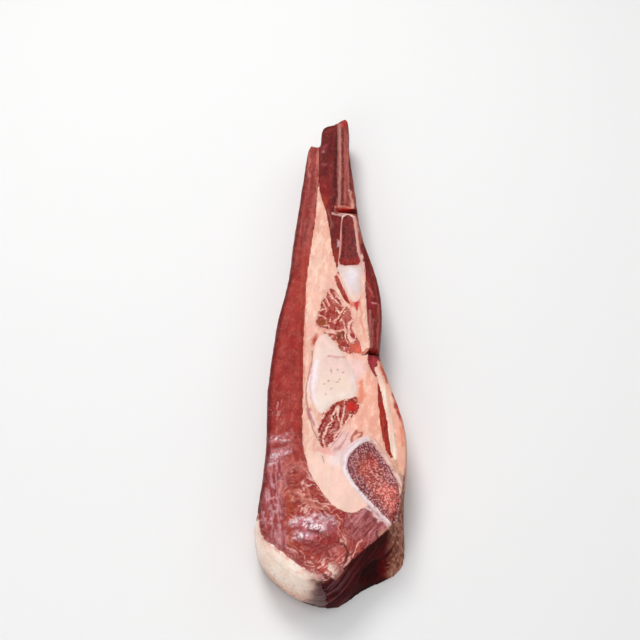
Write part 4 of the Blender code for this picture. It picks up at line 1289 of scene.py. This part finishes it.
def paint_breastbone_rim(coat, face):
    """White on the left and below, and brown and streaky on the right."""
    coat.dab(step(0, 0.6, cloud(face.mm, 4, 201)), (220, 176, 174), 0.5)
    coat.line([(34, -97), (24, -100.5), (17.5, -108), (16.6, -118), (22, -129), (34, -144)],
              1.3, (246, 230, 233), 0.85)
    coat.dab(step(1.6, 0.2, coat.near_pale) * step(44, 36, face.x), (240, 206, 196), 0.8)
    coat.line([(30, -97), (36, -97.5)], 1.4, (222, 196, 200), 0.8)
    right = face.stroke([(38, -97), (43, -104), (49, -115), (55, -128), (56, -142)], 4.0, 0.6)
    coat.dab(right, (218, 166, 148), 0.92)
    coat.dab(right * step(0.1, 0.5, face.grain(8, 1.2, 26, 203)), (240, 208, 196), 0.7)
    coat.dab(right * step(0.1, 0.5, -face.grain(8, 1.2, 26, 204)), (168, 112, 100), 0.6)
    coat.line([(24, -131), (36, -145), (46, -156)], 0.9, (248, 230, 230), 0.85)
    coat.spot((47, -158), (3, 3), 0, (208, 146, 124), 0.7)
    ragged = step(1.6, 0.2, coat.near_red) * step(0.0, 0.4, cloud(face.mm, 1.5, 205, 2))
    coat.dab(ragged * face.up, (140, 84, 90), 0.8)


def paint_rib_cortex(coat, face):
    """The rib's thin wall, whitest at the first slit."""
    x, y = face.x, face.y
    coat.dab(step(-0.1, 0.5, face.grain(12, 1.5, 2, 211)), (186, 112, 104), 0.5)
    coat.dab(step(24, 27, x) * step(98, 90, y), (216, 158, 146), 0.8)
    coat.dab(step(95, 98, y), (236, 204, 196), 0.9)
    coat.spot((18, 99), (1.5, 1.5), 0, (242, 222, 226), 0.8)
    coat.dab(step(56, 50, y), (226, 180, 170), 0.7)


def paint_breastbone_core(coat, face):
    """Spongy bone: purplish along the rim and above, salmon in the middle and below."""
    margin = face.stroke([(34, -99), (25, -104), (20, -114), (22, -123), (30, -135), (40, -148)], 3.6, 0.9)
    margin = np.maximum(margin, face.stroke([(34, -99), (40, -105), (46, -117), (49, -127)], 3.4, 0.9))
    coat.dab(face.oval(33, -116, 7, 14, -20, 0.9), (188, 88, 78), 0.85)
    coat.dab(face.oval(43, -138, 8, 15, -25, 0.9), (214, 108, 96), 0.9)
    coat.fatten(face.oval(40, -128, 11, 25, -24, 0.6))
    coat.dab(margin, (140, 80, 90), 0.85)
    coat.dab(step(-113, -101, face.y), (116, 44, 56), 0.6)
    coat.spot((35, -112), (2.6, 3.4), 0, (186, 52, 52), 0.6)
    coat.dab(step(0.15, 0.5, -cloud(face.mm, 3.4, 221)), (118, 44, 48), 0.4)
    coat.fatten(margin * 0.7)
    coat.dab(step(1.2, 0.2, face.edge), (92, 44, 54), 0.5)


def paint_rib_marrow(coat, face):
    """Dark marrow in streaks, bright red beside the cartilage."""
    coat.dab(step(58, 54, face.y), (152, 14, 12), 0.85)
    coat.dab(step(0, 0.5, face.grain(8, 1.5, 0, 231)), (146, 64, 58), 0.5)
    coat.dab(step(0.1, 0.5, -face.grain(5, 1.5, 0, 232)), (80, 20, 20), 0.6)
    coat.line([(17, 92), (16, 75), (15.5, 56)], 0.9, (84, 20, 20), 0.6)


# The torn end drinks in more light than the cut face
DEEP_MEAT = muscle_material("torn_end", 2.2, 0.0, (1, 1, 1), 0.8, 0.1)


def dress_all():
    muscle = muscle_material("muscle_cut")
    dark = muscle_material("dark_muscle_cut", 1.4, 0.15, (1, 0.35, 1))
    marbled = muscle_material("marbled_muscle_cut", 2.2, 0.7, fringe=0.2)
    flap = muscle_material("flap_cut", 1.3, 0.3, (1, 0.2, 1))
    fat = fat_material("seam_fat_cut")
    cap = fat_material("cap_fat", 0.42, 0.15)
    gristle = gristle_material("gristle")
    bone = gristle_material("dense_bone")
    spongy = spongy_material("spongy_bone", 0.85, colour(252, 212, 204), 0.7, 0.62)
    marrow = spongy_material("marrow", 0.95, colour(190, 96, 84), 0.45, 0.6)
    dress("seam_fat", fat, CREAM, paint_seam_fat, voxel=1.08, thicker=0.5)
    dress("outer_muscle", muscle, MEAT, paint_outer_muscle, outer_muscle_relief)
    dress("upper_muscle", dark, (116, 36, 36), paint_upper_muscle)
    dress("inner_muscle", dark, (124, 36, 36), paint_inner_muscle)
    dress("inner_thin_muscle", dark, (164, 56, 45), paint_inner_thin_muscle, voxel=0.8)
    dress("rib_side_muscle", marbled, (150, 48, 42), paint_rib_side_muscle, voxel=0.8)
    dress("upper_marbled_muscle", marbled, (160, 65, 60), paint_upper_marbled, voxel=1.0,
          ragged=0.8)
    dress("lower_marbled_muscle", marbled, (146, 48, 45), paint_lower_marbled, voxel=1.0,
          ragged=0.6)
    dress("striped_flap", flap, (146, 72, 68), paint_striped_flap, voxel=0.9)
    dress("fat_cap", cap, (254, 232, 216), paint_fat_cap, cap_relief, ragged=0.9, rounds=30,
          finish_sides=False)
    dress("fat_nub", cap, (164, 96, 86), paint_fat_nub, nub_relief, voxel=0.6, finish_sides=False)
    dress("inner_tendon", fat, (246, 216, 198), paint_tendon, voxel=0.8, ragged=0.4)
    dress("costal_cartilage", gristle, IVORY, paint_costal_cartilage, ragged=0.15)
    dress("rib_cartilage", gristle, (226, 204, 200), paint_rib_cartilage, voxel=0.8)
    dress("breastbone_rim", bone, (222, 190, 192), paint_breastbone_rim, voxel=0.9)
    dress("rib_cortex", bone, (206, 140, 130), paint_rib_cortex, voxel=0.6, ragged=0.12,
          inset=0.95)
    dress("breastbone_core", spongy, (138, 64, 61), paint_breastbone_core)
    dress("rib_marrow", marrow, (116, 36, 34), paint_rib_marrow, voxel=0.8)


# ---------------------------------------------------------------------------------------------------------
# Floor, light and camera
# ---------------------------------------------------------------------------------------------------------

SLICE_MIDDLE = (0, 0, 0.02)

# Area lights: name, place, where they aim, size, power in watts and tint
LIGHTS = (
    ("key", (-0.3, 0.72, 1.2), SLICE_MIDDLE, (0.5, 0.5), 10, (1, 0.985, 0.97)),
    ("overhead", (-0.1, -0.05, 1.5), SLICE_MIDDLE, (1.2, 1.0), 7.7, (1, 1, 1)),
    ("front", (-0.5, -1.2, 0.8), (0, -0.15, 0.02), (0.9, 0.9), 6, (1, 1, 1)),
    ("side", (1.0, 0.4, 1.1), SLICE_MIDDLE, (0.8, 0.8), 2.4, (1, 1, 1)),
)
SKY_TINT = (0.97, 0.98, 1.0, 1)
SKY_STRENGTH = 0.2
FLOOR_HALF_SIZE = 6
FLOOR_TONE = (0.86, 0.86, 0.86)


def lay_floor():
    bm = bmesh.new()
    bmesh.ops.create_grid(bm, x_segments=1, y_segments=1, size=FLOOR_HALF_SIZE)
    mesh = bpy.data.meshes.new("floor")
    bm.to_mesh(mesh)
    bm.free()
    floor = bpy.data.objects.new("floor", mesh)
    bpy.context.scene.collection.objects.link(floor)
    make = Recipe("floor_paper")
    tone = make.scale_colour(FLOOR_TONE, make.ramp(make.noise(300, 2), 0, 1, 0.995, 1.005))
    fibres = make.bump(make.noise(2, 2), 0.02, 0.1)
    mesh.materials.append(make.finish(tone, 0.8, fibres, soft=0.0, specular=0.2))


def add_light(name, place, aim, size, power, tint):
    data = bpy.data.lights.new(name, "AREA")
    data.shape = "RECTANGLE"
    data.size, data.size_y = size
    data.energy = power
    data.color = tint
    light = bpy.data.objects.new(name, data)
    light.location = place
    light.rotation_euler = (Vector(aim) - Vector(place)).to_track_quat("-Z", "Y").to_euler()
    bpy.context.scene.collection.objects.link(light)


def light_studio():
    world = bpy.data.worlds.new("studio")
    world.use_nodes = True
    sky = world.node_tree.nodes["Background"]
    sky.inputs["Color"].default_value = SKY_TINT
    sky.inputs["Strength"].default_value = SKY_STRENGTH
    bpy.context.scene.world = world
    for light in LIGHTS:
        add_light(*light)
    bpy.context.scene.view_settings.view_transform = "Standard"


def place_camera():
    data = bpy.data.cameras.new("camera")
    data.sensor_width = SENSOR_MM
    data.lens = SENSOR_MM * FOCAL_PIXELS / PHOTO_PIXELS
    camera = bpy.data.objects.new("camera", data)
    aim = Vector((-DRAWING_CENTRE[0] * MM, -DRAWING_CENTRE[1] * MM, FACE_HEIGHT))
    back = Vector((0, -math.cos(CAMERA_ELEVATION), math.sin(CAMERA_ELEVATION)))
    camera.location = aim + back * CAMERA_DISTANCE
    camera.rotation_euler = (math.pi / 2 - CAMERA_ELEVATION, 0, 0)
    bpy.context.scene.collection.objects.link(camera)
    bpy.context.scene.camera = camera


dress_all()
lay_floor()
light_studio()
place_camera()
